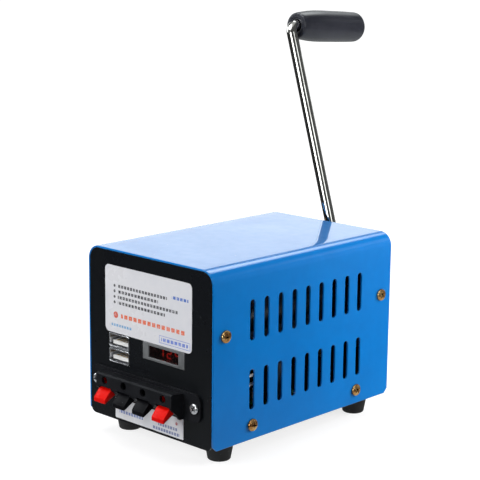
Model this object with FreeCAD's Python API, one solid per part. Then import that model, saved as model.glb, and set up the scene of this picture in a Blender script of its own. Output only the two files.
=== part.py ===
import FreeCAD, Part
import math
import os

# Hand crank generator: sheet-metal box with a geared generator inside and a rod crank behind.
# Millimetres. X runs to the right across the front, Y from front to back, Z up.
# The origin is the centre of the four feet, on the surface that they stand on.

# Casing
case_width = 88.0
case_depth = 132.0
case_height = 87.0
cover_sheet = 1.0
cover_bend_radius = 7.2
cover_corner_cut = 2.5
chassis_sheet = 1.2
panel_edge_gap = 0.2
panel_corner_radius = 3.2
tab_depth = 14.0
tab_height = 22.0
floor_tab_height = 14.0
floor_tab_end_gap = 17.0
floor_notch = 4.0

# Cooling slots in each side of the cover
slot_count = 9
slot_pitch = 10.0
slot_width = 3.2
slot_length = 20.0
slot_first_from_front = 26.4
slot_lower_row_height = 15.2
slot_upper_row_height = 49.5

# Feet
foot_height = 10.0
foot_top_radius = 7.4
foot_bottom_radius = 5.6
foot_edge_round = 0.8
foot_pitch_x = 64.0
foot_pitch_y = 102.0
foot_front_inset = 16.5
foot_bore_radius = 3.6
foot_bore_depth = 5.5

# Small screws and nuts
screw_radius = 1.5
screw_clearance = 0.2
thread_gap = 0.05
screw_head_radius = 3.1
screw_head_height = 1.8
screw_cross_length = 3.4
screw_cross_width = 0.8
screw_cross_depth = 1.0
screw_rim_share = 0.45
screw_crown_height_share = 0.9
screw_crown_radius_share = 0.62
thread_past_nut = 0.6
nut_across_flats = 5.5
nut_height = 2.4
cover_screw_length = 5.0
cover_screw_upper_height = 55.0
cover_screw_lower_height = 7.4
cover_screw_upper_inset = 8.0
cover_screw_lower_inset = 26.8

# Fits
running_gap = 0.06
seat_gap = 0.02
slack = 0.3

# Labels on the front panel
label_thickness = 0.15
upper_label_width = 61.2
upper_label_height = 34.0
upper_label_centre_x = -0.7
upper_label_bottom = 45.0
upper_label_corner = 2.6
lower_label_width = 48.6
lower_label_height = 10.4
lower_label_centre_x = 0.0
lower_label_bottom = 1.3
lower_label_corner = 0.4

# Stacked USB sockets
usb_width = 14.9
usb_height = 15.0
usb_depth = 17.5
usb_centre_x = -21.3
usb_bottom = 29.6
usb_proud = 0.4
usb_wall = 0.8
usb_port_height = 5.8
usb_divider = 1.9
usb_back_wall = 0.6
usb_insulator_block = 4.0
usb_tongue_width = 11.1
usb_tongue_thickness = 1.9
usb_tongue_setback = 1.2
usb_tongue_lift = 0.8
usb_contact_count = 4
usb_contact_pitch = 2.2
usb_contact_width = 1.0
usb_contact_thickness = 0.2
usb_contact_length = 7.5
usb_contact_setback = 1.0
opening_gap = 0.2

# Voltmeter
meter_width = 29.0
meter_height = 8.6
meter_depth = 9.0
meter_centre_x = 10.6
meter_bottom = 36.2
meter_proud = 0.4
meter_shoulder = 1.0
meter_window_width = 20.6
meter_window_height = 5.8
meter_window_setback = 0.7
meter_window_thickness = 1.0
meter_cavity_depth = 3.0
digit_height = 4.4
digit_width = 2.7
digit_pitch = 5.6
segment_width = 0.5
segment_thickness = 0.4

# Push terminal block
terminal_centre_x = -1.7
terminal_width = 53.8
terminal_top = 25.9
terminal_top_back = 24.8
terminal_front = 9.0
terminal_wall = 1.5
terminal_lip = 18.6
terminal_bottom = 12.4
terminal_flange_past_screw = 3.8
terminal_flange_corner = 4.0
terminal_flange_height = 14.0
terminal_flange_thickness = 1.2
terminal_screw_pitch = 69.4
terminal_screw_height = 19.3
terminal_boss_width = 48.0
terminal_boss_height = 8.0
terminal_boss_depth = 6.0
terminal_edge_round = 0.7
terminal_chin_depth = 3.6
terminal_chin_height = 3.4
terminal_foot_depth = 2.2
terminal_lip_gap = 0.6
lever_count = 4
lever_pitch = 13.9
lever_width = 8.6
lever_side_gap = 0.3
lever_pivot_out = 4.6
lever_pivot_height = 17.4
lever_pin_radius = 1.2
lever_pin_length = 0.9
lever_hole_share = 0.75
wire_hole_radius = 2.0
wire_hole_height = 22.6
contact_width = 5.0
contact_thickness = 0.5
contact_out = 1.6
contact_drop = 4.0
tag_width = 3.0
tag_reach = 5.0
spring_width = 4.0
spring_thickness = 0.3
spring_start = 3.2
spring_tail = 1.4
# A lever's side outline below its upright arm, as (out, up) from its pivot, in two halves
lever_inner_outline = [(0.0, -1.6), (-1.7, 0.2), (-0.9, 2.0)]
lever_outer_outline = [
    (1.5, 1.6), (4.2, 0.7), (7.4, -3.0), (7.7, -3.6), (7.7, -5.4), (7.1, -5.4), (2.6, -3.0),
]
lever_arm_inner = -0.6
lever_arm_outer = 1.0

# Regulator board
board_width = 70.0
board_length = 54.0
board_thickness = 1.6
board_centre_y = -15.0
board_hole_inset = 4.0
standoff_height = 6.0
standoff_radius = 2.8
board_screw_length = 4.4
board_under_screw_length = 4.0
capacitor_radius = 6.3
capacitor_height = 20.0
capacitor_small_radius = 4.0
capacitor_small_height = 12.0
capacitor_edge_round = 0.8
capacitor_x = -22.0
capacitor_ys = (-34.0, -19.0)
capacitor_small_y = -6.0
inductor_radius = 9.0
inductor_tube_radius = 3.2
inductor_x = 17.0
inductor_y = -32.0
heatsink_length = 24.0
heatsink_height = 20.0
heatsink_back = 2.4
heatsink_fin = 1.2
heatsink_fin_reach = 6.0
heatsink_fin_count = 5
heatsink_x = 20.0
heatsink_y = -10.0
regulator_width = 10.0
regulator_height = 9.0
regulator_thickness = 4.4
regulator_lift = 4.0
regulator_tab_height = 6.0
regulator_tab_thickness = 1.3
regulator_pin_pitch = 2.54
regulator_pin_out = 2.65
rectifier_width = 15.0
rectifier_height = 12.0
rectifier_thickness = 4.6
rectifier_lift = 2.0
rectifier_pin_pitch = 3.8
rectifier_x = -3.0
rectifier_y = -14.0
pin_half_width = 0.4
pin_half_thickness = 0.25
pin_overlap = 1.0
part_lift = 0.2

# Gearbox
crank_height = 43.5
plate_thickness = 2.0
plate_left = 40.5
plate_right = 26.0
plate_bottom = 21.0
plate_top = 80.0
plate_corner_radius = 3.0
pillar_length = 24.0
pillar_radius = 3.5
pillar_inset = 4.5
pillar_thread = 6.0
gear_module = 0.7
pressure_angle = 25.0
tooth_addendum = 0.9
tooth_dedendum = 1.15
tooth_backlash = 0.1
crank_gear_teeth = 56
lay_pinion_teeth = 14
lay_gear_teeth = 48
rotor_pinion_teeth = 12
lay_angle = 149.0
rotor_angle = 0.0
crank_gear_width = 8.0
crank_gear_from_front_plate = 13.0
crank_gear_boss_radius = 7.0
lay_pinion_overhang = 1.0
lay_gear_width = 6.0
lay_gear_from_front_plate = 3.0
lay_gear_boss_radius = 4.6
rotor_pinion_overhang = 1.0
gear_web_inset = 1.6
gear_rim = 3.4
gear_boss_step = 1.0

# Shafts and bushes
crank_shaft_radius = 4.0
crank_bush_radius = 5.5
crank_bush_flange_radius = 7.0
crank_bush_flange = 1.5
lay_shaft_radius = 3.0
lay_bush_radius = 4.5
lay_bush_flange_radius = 5.4
lay_bush_flange = 0.8
shaft_end_gap = 0.4

# Generator
can_radius = 18.5
can_wall = 1.2
can_front_wall = 1.8
can_length = 50.0
can_boss_radius = 6.0
magnet_thickness = 2.6
magnet_angle = 134.0
magnet_setback = 4.0
magnet_brush_room = 10.2
air_gap = 0.5
rotor_core_inset = 2.0
rotor_pole_count = 5
rotor_slot_width = 3.0
rotor_slot_depth = 8.0
rotor_shaft_radius = 2.0
winding_overhang = 2.6
winding_inset = 1.2
end_cap_thickness = 3.0
end_cap_spigot = 4.0
end_boss_radius = 5.0
end_boss_length = 3.0
end_boss_wall = 1.0
end_cap_spigot_wall = 2.0
commutator_radius = 4.5
commutator_length = 7.0
commutator_gap = 0.5
brush_width = 3.0
brush_height = 4.0
brush_setback = 2.3
brush_blade_width = 2.0
brush_blade_thickness = 0.4
can_screw_circle = 12.5
can_screw_angle = 20.0
can_screw_length = 3.6
can_screw_head_radius = 2.6
can_screw_head_height = 1.5
rotor_end_gap = 0.5

# Crank behind the box
crank_rod_radius = 3.0
crank_arm_length = 152.5
crank_arm_behind_panel = 16.4
crank_lean = 16.7
crank_elbow_past_square = 3.0
crank_elbow_radius = 4.0
crank_tail = 10.5
hub_radius = 8.5
hub_washer_thickness = 0.5
hub_washer_radius = 7.5
hub_end = 6.0
hub_edge_round = 0.8
grub_radius = 2.0
grub_length = 4.0
grub_socket_radius = 1.0
grub_socket_depth = 1.6
grub_sunk = 0.5
axial_gap = 0.1

# Grip
grip_length = 52.0
grip_near_radius = 7.3
grip_swell_radius = 8.9
grip_swell_at = 17.0
grip_far_radius = 8.7
grip_end_round = 3.4
grip_end_wall = 3.0
grip_swell_share = 0.72
grip_start_gap = 0.5
retainer_radius = 4.6
retainer_thickness = 1.0
retainer_groove_gap = 0.3
rod_tip = 1.5

# Leads inside the box
lead_radius = 0.8
lead_bend = 4.0
output_lead_first_run = 7.0
output_lead_wall_gaps = (5.0, 6.0)
output_lead_rise_backs = (10.5, 16.5)
output_lead_rise_ups = (11.1, 6.1)
output_lead_crest_back = 27.5
output_lead_crest_ups = (13.1, 8.6)
output_lead_land_back = 34.0
output_lead_land_ups = (2.6, -0.4)
output_lead_land_xs = (31.0, 27.6)
motor_lead_spread = 7.0
motor_lead_below_axis = 9.0
motor_lead_first_run = 8.0
motor_lead_drop_forward = 14.0
motor_lead_drop = 24.0
motor_lead_land_spread = 4.0

# Derived places
front_y = -foot_pitch_y / 2 - foot_front_inset
rear_y = front_y + case_depth
base_z = foot_height
top_z = base_z + case_height
half_width = case_width / 2
inner_half = half_width - cover_sheet
panel_half = inner_half - panel_edge_gap
floor_z = base_z + chassis_sheet
back_face_y = front_y + chassis_sheet
inner_rear_y = rear_y - chassis_sheet
crank_z = base_z + crank_height
screw_hole_radius = screw_radius + screw_clearance
thread_radius = screw_radius + thread_gap
plate_rear_y0 = inner_rear_y - plate_thickness
plate_front_y1 = plate_rear_y0 - pillar_length
plate_front_y0 = plate_front_y1 - plate_thickness

axis_x = FreeCAD.Vector(1, 0, 0)
axis_y = FreeCAD.Vector(0, 1, 0)
axis_z = FreeCAD.Vector(0, 0, 1)


def vec(x, y, z):
    return FreeCAD.Vector(x, y, z)


def box(x0, x1, y0, y1, z0, z1):
    return Part.makeBox(x1 - x0, y1 - y0, z1 - z0, vec(x0, y0, z0))


def rod(start, direction, radius, length):
    return Part.makeCylinder(radius, length, start, direction)


def rod_y(x, z, y0, y1, radius):
    return rod(vec(x, y0, z), axis_y, radius, y1 - y0)


def rod_z(x, y, z0, z1, radius):
    return rod(vec(x, y, z0), axis_z, radius, z1 - z0)


def tube_y(x, z, y0, y1, outer, inner):
    return rod_y(x, z, y0, y1, outer).cut(rod_y(x, z, y0, y1, inner))


def polygon_face(points):
    return Part.Face(Part.makePolygon(points + [points[0]]))


def side_profile(points, x0, x1):
    # A closed outline of (y, z) points carried along X.
    return polygon_face([vec(x0, y, z) for y, z in points]).extrude(vec(x1 - x0, 0, 0))


def rounded_slab(width, height, radius, centre_x, bottom, y0, y1):
    # An upright slab with rounded corners, seen from the front.
    slab = box(centre_x - width / 2, centre_x + width / 2, y0, y1, bottom, bottom + height)
    edges = [e for e in slab.Edges if abs(e.Vertexes[0].Y - e.Vertexes[1].Y) > (y1 - y0) / 2]
    return slab.makeFillet(radius, edges)


def group(shapes):
    return Part.makeCompound(shapes)


def save(name, shape):
    shape.exportStep("parts/" + name + ".step")


def lead(points, radius, bend):
    # A round rod along straight runs that are joined by tangent arcs.
    edges = []
    start = points[0]
    for before, corner, after in zip(points, points[1:], points[2:]):
        u = (corner - before).normalize()
        v = (after - corner).normalize()
        turn = math.acos(max(-1.0, min(1.0, u.dot(v))))
        cut = bend * math.tan(turn / 2)
        first = corner - u * cut
        last = corner + v * cut
        inward = (v - u).normalize()
        middle = corner + inward * (bend / math.cos(turn / 2) - bend)
        edges.append(Part.LineSegment(start, first).toShape())
        edges.append(Part.Arc(first, middle, last).toShape())
        start = last
    edges.append(Part.LineSegment(start, points[-1]).toShape())
    path = Part.Wire(edges)
    ring = Part.Wire([Part.makeCircle(radius, points[0], points[1] - points[0])])
    return path.makePipeShell([ring], True, False)


def screw(seat, outward, length, head_radius, head_height):
    # A cross-head screw whose head stands on its seat and whose shank runs the other way.
    rim = head_height * screw_rim_share
    crown = vec(head_radius * screw_crown_radius_share, 0, head_height * screw_crown_height_share)
    rise = Part.Arc(vec(head_radius, 0, rim), crown, vec(0, 0, head_height)).toShape()
    outline = [
        Part.LineSegment(vec(0, 0, 0), vec(head_radius, 0, 0)).toShape(),
        Part.LineSegment(vec(head_radius, 0, 0), vec(head_radius, 0, rim)).toShape(),
        rise,
        Part.LineSegment(vec(0, 0, head_height), vec(0, 0, 0)).toShape(),
    ]
    head = Part.Face(Part.Wire(outline)).revolve(vec(0, 0, 0), axis_z, 360)
    body = head.fuse(rod_z(0, 0, -length, 0.0, screw_radius))
    floor = head_height - screw_cross_depth
    arm = screw_cross_length * head_radius / screw_head_radius / 2
    half = screw_cross_width / 2
    body = body.cut(box(-arm, arm, -half, half, floor, head_height + 1))
    body = body.cut(box(-half, half, -arm, arm, floor, head_height + 1))
    body.Placement = FreeCAD.Placement(seat, FreeCAD.Rotation(axis_z, outward))
    return body


def nut(seat, outward):
    # A hexagon nut standing on its seat.
    corner = nut_across_flats / 2 / math.cos(math.radians(30))
    turns = [math.radians(60 * i) for i in range(6)]
    ring = [vec(corner * math.cos(a), corner * math.sin(a), 0) for a in turns]
    body = polygon_face(ring).extrude(vec(0, 0, nut_height))
    body = body.cut(rod_z(0, 0, -1.0, nut_height + 1, thread_radius))
    body.Placement = FreeCAD.Placement(seat, FreeCAD.Rotation(axis_z, outward))
    return body


def involute_flank(base_radius, radius):
    # The angle that an involute has turned when it reaches a radius.
    if radius <= base_radius:
        return 0.0
    roll = math.sqrt((radius / base_radius) ** 2 - 1)
    return roll - math.atan(roll)


def spur_gear(x, z, y0, y1, teeth, tooth_direction, bore):
    # A spur gear with one tooth centred on the given direction, measured from +X towards +Z.
    pitch = gear_module * teeth / 2
    base_radius = pitch * math.cos(math.radians(pressure_angle))
    tip = pitch + tooth_addendum * gear_module
    root = pitch - tooth_dedendum * gear_module
    half_tooth = math.pi / (2 * teeth) - tooth_backlash / 2 / pitch
    offset = half_tooth + involute_flank(base_radius, pitch)
    low = max(root, base_radius)
    radii = [low + (tip - low) * k / 3 for k in range(4)]
    outline = []
    for i in range(teeth):
        centre = math.radians(tooth_direction) + 2 * math.pi * i / teeth
        flank = [(r, offset - involute_flank(base_radius, r)) for r in radii]
        if root < low:
            flank = [(root, offset)] + flank
        rising = [(r, centre - a) for r, a in flank]
        falling = [(r, centre + a) for r, a in reversed(flank)]
        outline += [vec(x + r * math.cos(a), y0, z + r * math.sin(a)) for r, a in rising + falling]
    blank = polygon_face(outline).extrude(vec(0, y1 - y0, 0))
    return blank.cut(rod_y(x, z, y0 - 1, y1 + 1, bore))


def meshed_direction(angle, teeth):
    # The tooth direction that puts a gap, not a tooth, on the given side.
    return angle + 180.0 / teeth


# Screw places that the cover and the chassis share
cover_screw_places = []
for side in (-1, 1):
    for y in (front_y + cover_screw_upper_inset, rear_y - cover_screw_upper_inset):
        cover_screw_places.append((side, y, base_z + cover_screw_upper_height))
    for y in (front_y + cover_screw_lower_inset, rear_y - cover_screw_lower_inset):
        cover_screw_places.append((side, y, base_z + cover_screw_lower_height))
foot_places = [(sx * foot_pitch_x / 2, sy * foot_pitch_y / 2) for sx in (-1, 1) for sy in (-1, 1)]
terminal_screw_z = base_z + terminal_screw_height
terminal_screw_xs = [terminal_centre_x + s * terminal_screw_pitch / 2 for s in (-1, 1)]
plate_z0 = base_z + plate_bottom
plate_z1 = base_z + plate_top
pillar_places = [
    (px, pz)
    for px in (-plate_left + pillar_inset, plate_right - pillar_inset)
    for pz in (plate_z0 + pillar_inset, plate_z1 - pillar_inset)
]
lay_distance = gear_module * (crank_gear_teeth + lay_pinion_teeth) / 2
rotor_distance = gear_module * (lay_gear_teeth + rotor_pinion_teeth) / 2
lay_x = lay_distance * math.cos(math.radians(lay_angle))
lay_z = crank_z + lay_distance * math.sin(math.radians(lay_angle))
rotor_x = lay_x + rotor_distance * math.cos(math.radians(rotor_angle))
rotor_z = lay_z + rotor_distance * math.sin(math.radians(rotor_angle))


def folded_outline(half, top, bottom, radius):
    # The cover's cross-section outline at one offset, as an upright face at the front.
    points = [
        vec(-half, front_y, bottom),
        vec(-half, front_y, top - radius),
        vec(-half + radius, front_y, top),
        vec(half - radius, front_y, top),
        vec(half, front_y, top - radius),
        vec(half, front_y, bottom),
    ]
    bite = radius * (1 - math.sqrt(0.5))
    left = Part.Arc(points[1], vec(-half + bite, front_y, top - bite), points[2])
    right = Part.Arc(points[3], vec(half - bite, front_y, top - bite), points[4])
    edges = [
        Part.LineSegment(points[0], points[1]).toShape(),
        left.toShape(),
        Part.LineSegment(points[2], points[3]).toShape(),
        right.toShape(),
        Part.LineSegment(points[4], points[5]).toShape(),
        Part.LineSegment(points[5], points[0]).toShape(),
    ]
    return Part.Face(Part.Wire(edges))


def slot_tool(y, z):
    # One round-ended upright slot right across the cover.
    radius = slot_width / 2
    reach = half_width + 1
    tool = box(-reach, reach, y - radius, y + radius, z + radius, z + slot_length - radius)
    for end in (z + radius, z + slot_length - radius):
        tool = tool.fuse(rod(vec(-reach, y, end), axis_x, radius, 2 * reach))
    return tool


def corner_tool(y, z, along, up):
    # The wedge that bevels a lower corner of the cover's sides.
    cut = cover_corner_cut
    points = [(y, z), (y + along * cut, z), (y, z + up * cut)]
    return side_profile(points, -half_width - 1, half_width + 1)


def make_cover():
    depth = vec(0, case_depth, 0)
    outer = folded_outline(half_width, top_z, base_z, cover_bend_radius).extrude(depth)
    inner_radius = cover_bend_radius - cover_sheet
    inner = folded_outline(inner_half, top_z - cover_sheet, base_z, inner_radius).extrude(depth)
    shell = outer.cut(inner)
    tools = []
    for row in (slot_lower_row_height, slot_upper_row_height):
        for i in range(slot_count):
            tools.append(slot_tool(front_y + slot_first_from_front + i * slot_pitch, base_z + row))
    for side, y, z in cover_screw_places:
        tools.append(rod(vec(side * (inner_half - 1), y, z), axis_x * side, screw_hole_radius, cover_sheet + 2))
    tools.append(corner_tool(front_y, base_z, 1, 1))
    tools.append(corner_tool(rear_y, base_z, -1, 1))
    return shell.cut(group(tools))


def end_panel(y0, y1):
    # A front or rear wall of the chassis, with large upper corners that follow the cover's bends.
    radius = cover_bend_radius - cover_sheet - panel_edge_gap
    top = top_z - cover_sheet - panel_edge_gap
    wall = folded_outline(panel_half, top, base_z, radius).extrude(vec(0, y1 - y0, 0))
    wall.translate(vec(0, y0 - front_y, 0))
    lower = [
        e for e in wall.Edges
        if abs(e.Vertexes[0].Z - base_z) < 0.01
        and abs(e.Vertexes[0].Y - e.Vertexes[-1].Y) > (y1 - y0) / 2
    ]
    return wall.makeFillet(panel_corner_radius, lower)


def make_chassis():
    frame = end_panel(front_y, back_face_y)
    frame = frame.fuse(end_panel(inner_rear_y, rear_y))
    floor_half = panel_half - panel_corner_radius
    frame = frame.fuse(box(-floor_half, floor_half, front_y, rear_y, base_z, floor_z))
    middle_y0 = front_y + floor_tab_end_gap
    middle_y1 = rear_y - floor_tab_end_gap
    notch_y0 = front_y + floor_notch
    notch_y1 = rear_y - floor_notch
    frame = frame.fuse(box(-panel_half, panel_half, notch_y0, notch_y1, base_z, floor_z))
    frame = frame.fuse(box(-inner_half, inner_half, middle_y0, middle_y1, base_z, floor_z))
    tab_z0 = base_z + cover_screw_upper_height - tab_height / 2
    for side in (-1, 1):
        x0, x1 = sorted((side * inner_half, side * (inner_half - chassis_sheet)))
        frame = frame.fuse(box(x0, x1, middle_y0, middle_y1, base_z, base_z + floor_tab_height))
        frame = frame.fuse(box(x0, x1, front_y, front_y + tab_depth, tab_z0, tab_z0 + tab_height))
        frame = frame.fuse(box(x0, x1, rear_y - tab_depth, rear_y, tab_z0, tab_z0 + tab_height))
    tools = []
    for side, y, z in cover_screw_places:
        start = vec(side * (inner_half - chassis_sheet - 1), y, z)
        tools.append(rod(start, axis_x * side, thread_radius, chassis_sheet + 2))
    for x, y in foot_places:
        tools.append(rod_z(x, y, base_z - 1, floor_z + 1, screw_hole_radius))
    for x, y in board_hole_places():
        tools.append(rod_z(x, y, base_z - 1, floor_z + 1, screw_hole_radius))
    usb_half = usb_width / 2 + opening_gap
    usb_z0 = base_z + usb_bottom - opening_gap
    usb_z1 = base_z + usb_bottom + usb_height + opening_gap
    usb_x0 = usb_centre_x - usb_half
    usb_x1 = usb_centre_x + usb_half
    tools.append(box(usb_x0, usb_x1, front_y - 1, back_face_y + 1, usb_z0, usb_z1))
    meter_half = meter_width / 2 + opening_gap
    meter_z0 = base_z + meter_bottom - opening_gap
    meter_z1 = base_z + meter_bottom + meter_height + opening_gap
    meter_x0 = meter_centre_x - meter_half
    meter_x1 = meter_centre_x + meter_half
    tools.append(box(meter_x0, meter_x1, front_y - 1, back_face_y + 1, meter_z0, meter_z1))
    boss_half = terminal_boss_width / 2 + opening_gap
    boss_z0 = terminal_screw_z - terminal_boss_height / 2 - opening_gap
    boss_z1 = terminal_screw_z + terminal_boss_height / 2 + opening_gap
    boss_x0 = terminal_centre_x - boss_half
    boss_x1 = terminal_centre_x + boss_half
    tools.append(box(boss_x0, boss_x1, front_y - 1, back_face_y + 1, boss_z0, boss_z1))
    for x in terminal_screw_xs:
        tools.append(rod_y(x, terminal_screw_z, front_y - 1, back_face_y + 1, screw_hole_radius))
    tools.append(rod_y(0, crank_z, inner_rear_y - 1, rear_y + 1, crank_bush_radius + seat_gap))
    for px, pz in pillar_places:
        tools.append(rod_y(px, pz, inner_rear_y - 1, rear_y + 1, screw_hole_radius))
    return frame.cut(group(tools))


def make_cover_screws():
    screws = []
    for side, y, z in cover_screw_places:
        seat = vec(side * half_width, y, z)
        screws.append(screw(seat, axis_x * side, cover_screw_length, screw_head_radius, screw_head_height))
    return group(screws)


def make_feet():
    feet = []
    for x, y in foot_places:
        foot = Part.makeCone(foot_bottom_radius, foot_top_radius, foot_height, vec(x, y, 0))
        rim = [e for e in foot.Edges if abs(e.BoundBox.ZMax) < 0.01]
        foot = foot.makeFillet(foot_edge_round, rim)
        foot = foot.cut(rod_z(x, y, -1.0, foot_bore_depth, foot_bore_radius))
        foot = foot.cut(rod_z(x, y, 0.0, foot_height + 1, screw_hole_radius))
        feet.append(foot)
    return group(feet)


def make_foot_screws():
    length = foot_height - foot_bore_depth + chassis_sheet + nut_height + thread_past_nut
    screws = []
    for x, y in foot_places:
        seat = vec(x, y, foot_bore_depth)
        screws.append(screw(seat, axis_z * -1, length, screw_head_radius, screw_head_height))
    return group(screws)


def make_nuts():
    nuts = [nut(vec(x, y, floor_z), axis_z) for x, y in foot_places]
    nuts += [nut(vec(x, back_face_y, terminal_screw_z), axis_y) for x in terminal_screw_xs]
    return group(nuts)


def make_label(width, height, centre_x, bottom, corner):
    y0 = front_y - label_thickness
    return rounded_slab(width, height, corner, centre_x, base_z + bottom, y0, front_y)


def usb_ports():
    # The lower edge of each port, lower port first.
    low = base_z + usb_bottom + (usb_height - 2 * usb_port_height - usb_divider) / 2
    return [low, low + usb_port_height + usb_divider]


def make_usb_shell():
    y0 = front_y - usb_proud
    half = usb_width / 2
    z0 = base_z + usb_bottom
    shell = box(usb_centre_x - half, usb_centre_x + half, y0, y0 + usb_depth, z0, z0 + usb_height)
    hollow = half - usb_wall
    for low in usb_ports():
        inside = box(usb_centre_x - hollow, usb_centre_x + hollow, y0 - 1, y0 + usb_depth - usb_back_wall,
                     low, low + usb_port_height)
        shell = shell.cut(inside)
    return shell


def usb_tongue_top(low):
    return low + usb_tongue_lift + usb_tongue_thickness


def make_usb_insulator():
    y0 = front_y - usb_proud
    back = y0 + usb_depth - usb_back_wall
    hollow = usb_width / 2 - usb_wall
    pieces = []
    for low in usb_ports():
        block = box(usb_centre_x - hollow, usb_centre_x + hollow, back - usb_insulator_block, back,
                    low, low + usb_port_height)
        tongue_half = usb_tongue_width / 2
        tongue = box(usb_centre_x - tongue_half, usb_centre_x + tongue_half, y0 + usb_tongue_setback, back,
                     low + usb_tongue_lift, usb_tongue_top(low))
        pieces.append(block.fuse(tongue))
    return group(pieces)


def make_usb_contacts():
    y0 = front_y - usb_proud + usb_tongue_setback + usb_contact_setback
    strips = []
    for low in usb_ports():
        for i in range(usb_contact_count):
            x = usb_centre_x + (i - (usb_contact_count - 1) / 2) * usb_contact_pitch
            z = usb_tongue_top(low)
            strips.append(box(x - usb_contact_width / 2, x + usb_contact_width / 2, y0,
                              y0 + usb_contact_length, z, z + usb_contact_thickness))
    return group(strips)


def make_meter_case():
    half = meter_width / 2
    z0 = base_z + meter_bottom
    y0 = front_y - meter_proud
    face = box(meter_centre_x - half, meter_centre_x + half, y0, back_face_y, z0, z0 + meter_height)
    wide = half + meter_shoulder
    rear = box(meter_centre_x - wide, meter_centre_x + wide, back_face_y, back_face_y + meter_depth,
               z0 - meter_shoulder, z0 + meter_height + meter_shoulder)
    case = face.fuse(rear)
    window_half = meter_window_width / 2
    middle = z0 + meter_height / 2
    hollow = box(meter_centre_x - window_half, meter_centre_x + window_half, y0 - 1,
                 y0 + meter_window_setback + meter_window_thickness + meter_cavity_depth,
                 middle - meter_window_height / 2, middle + meter_window_height / 2)
    return case.cut(hollow)


def make_meter_window():
    half = meter_window_width / 2 - seat_gap
    middle = base_z + meter_bottom + meter_height / 2
    tall = meter_window_height / 2 - seat_gap
    y0 = front_y - meter_proud + meter_window_setback
    return box(meter_centre_x - half, meter_centre_x + half, y0, y0 + meter_window_thickness,
               middle - tall, middle + tall)


def digit_segments(x, z, lit):
    # The lit bars of one seven-bar digit: a top, b and c right, d bottom, e and f left, g middle.
    w = digit_width / 2
    h = digit_height / 2
    s = segment_width / 2
    bars = {
        "a": (x - w + s, x + w - s, z + h - s, z + h + s),
        "d": (x - w + s, x + w - s, z - h - s, z - h + s),
        "g": (x - w + s, x + w - s, z - s, z + s),
        "b": (x + w - s, x + w + s, z + s, z + h - s),
        "c": (x + w - s, x + w + s, z - h + s, z - s),
        "f": (x - w - s, x - w + s, z + s, z + h - s),
        "e": (x - w - s, x - w + s, z - h + s, z - s),
    }
    y1 = front_y - meter_proud + meter_window_setback + meter_window_thickness + meter_cavity_depth
    return [box(*bars[k][:2], y1 - segment_thickness, y1, *bars[k][2:]) for k in lit]


def make_meter_digits():
    z = base_z + meter_bottom + meter_height / 2
    bars = []
    for i, lit in enumerate(("bc", "abged", "fgbc")):
        bars += digit_segments(meter_centre_x + (i - 1) * digit_pitch, z, lit)
    return group(bars)


def lever_centres():
    return [terminal_centre_x + (i - (lever_count - 1) / 2) * lever_pitch for i in range(lever_count)]


def out_profile(points, x0, x1):
    # An outline of (distance in front of the panel, height in the case) points carried along X.
    return side_profile([(front_y - d, base_z + h) for d, h in points], x0, x1)


def make_terminal_body():
    left = terminal_centre_x - terminal_width / 2
    right = terminal_centre_x + terminal_width / 2
    hood = out_profile([
        (0, terminal_bottom),
        (0, terminal_top_back),
        (terminal_front - terminal_edge_round, terminal_top),
        (terminal_front, terminal_top - terminal_edge_round),
        (terminal_front, terminal_lip),
        (terminal_front - terminal_chin_depth, terminal_lip - terminal_chin_height),
        (terminal_flange_thickness + terminal_foot_depth, terminal_bottom),
    ], left, right)
    flange_z0 = terminal_screw_z - terminal_flange_height / 2
    flange_width = terminal_screw_pitch + 2 * terminal_flange_past_screw
    flange = rounded_slab(flange_width, terminal_flange_height, terminal_flange_corner,
                          terminal_centre_x, flange_z0, front_y - terminal_flange_thickness, front_y)
    boss_x0 = terminal_centre_x - terminal_boss_width / 2
    boss_z0 = terminal_screw_z - terminal_boss_height / 2
    boss = box(boss_x0, boss_x0 + terminal_boss_width, front_y, front_y + terminal_boss_depth,
               boss_z0, boss_z0 + terminal_boss_height)
    body = hood.fuse(flange).fuse(boss)
    pocket_half = lever_width / 2 + lever_side_gap
    inner_front = terminal_front - terminal_wall
    inner_top = terminal_top_back - terminal_wall
    mouth = terminal_lip + terminal_lip_gap
    pin_reach = pocket_half + lever_pin_length + axial_gap
    pivot_y = front_y - lever_pivot_out
    pivot_z = base_z + lever_pivot_height
    tag_half = tag_width / 2 + seat_gap
    tag_tall = contact_thickness / 2 + seat_gap
    tools = []
    for x in lever_centres():
        tools.append(out_profile([
            (contact_out, terminal_bottom - 1),
            (contact_out, inner_top),
            (inner_front, inner_top),
            (inner_front, mouth),
            (terminal_front + 1, mouth),
            (terminal_front + 1, terminal_bottom - 1),
        ], x - pocket_half, x + pocket_half))
        tools.append(rod_y(x, base_z + wire_hole_height, front_y - terminal_front - 1,
                           front_y - inner_front + 1, wire_hole_radius))
        pin_start = vec(x - pin_reach, pivot_y, pivot_z)
        tools.append(rod(pin_start, axis_x, lever_pin_radius + running_gap, 2 * pin_reach))
        tools.append(box(x - tag_half, x + tag_half, front_y - contact_out - 1,
                         front_y + terminal_boss_depth + 1, pivot_z - tag_tall, pivot_z + tag_tall))
    for x in terminal_screw_xs:
        tools.append(rod_y(x, terminal_screw_z, front_y - terminal_front, front_y + 1, screw_hole_radius))
    return body.cut(group(tools))


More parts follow.
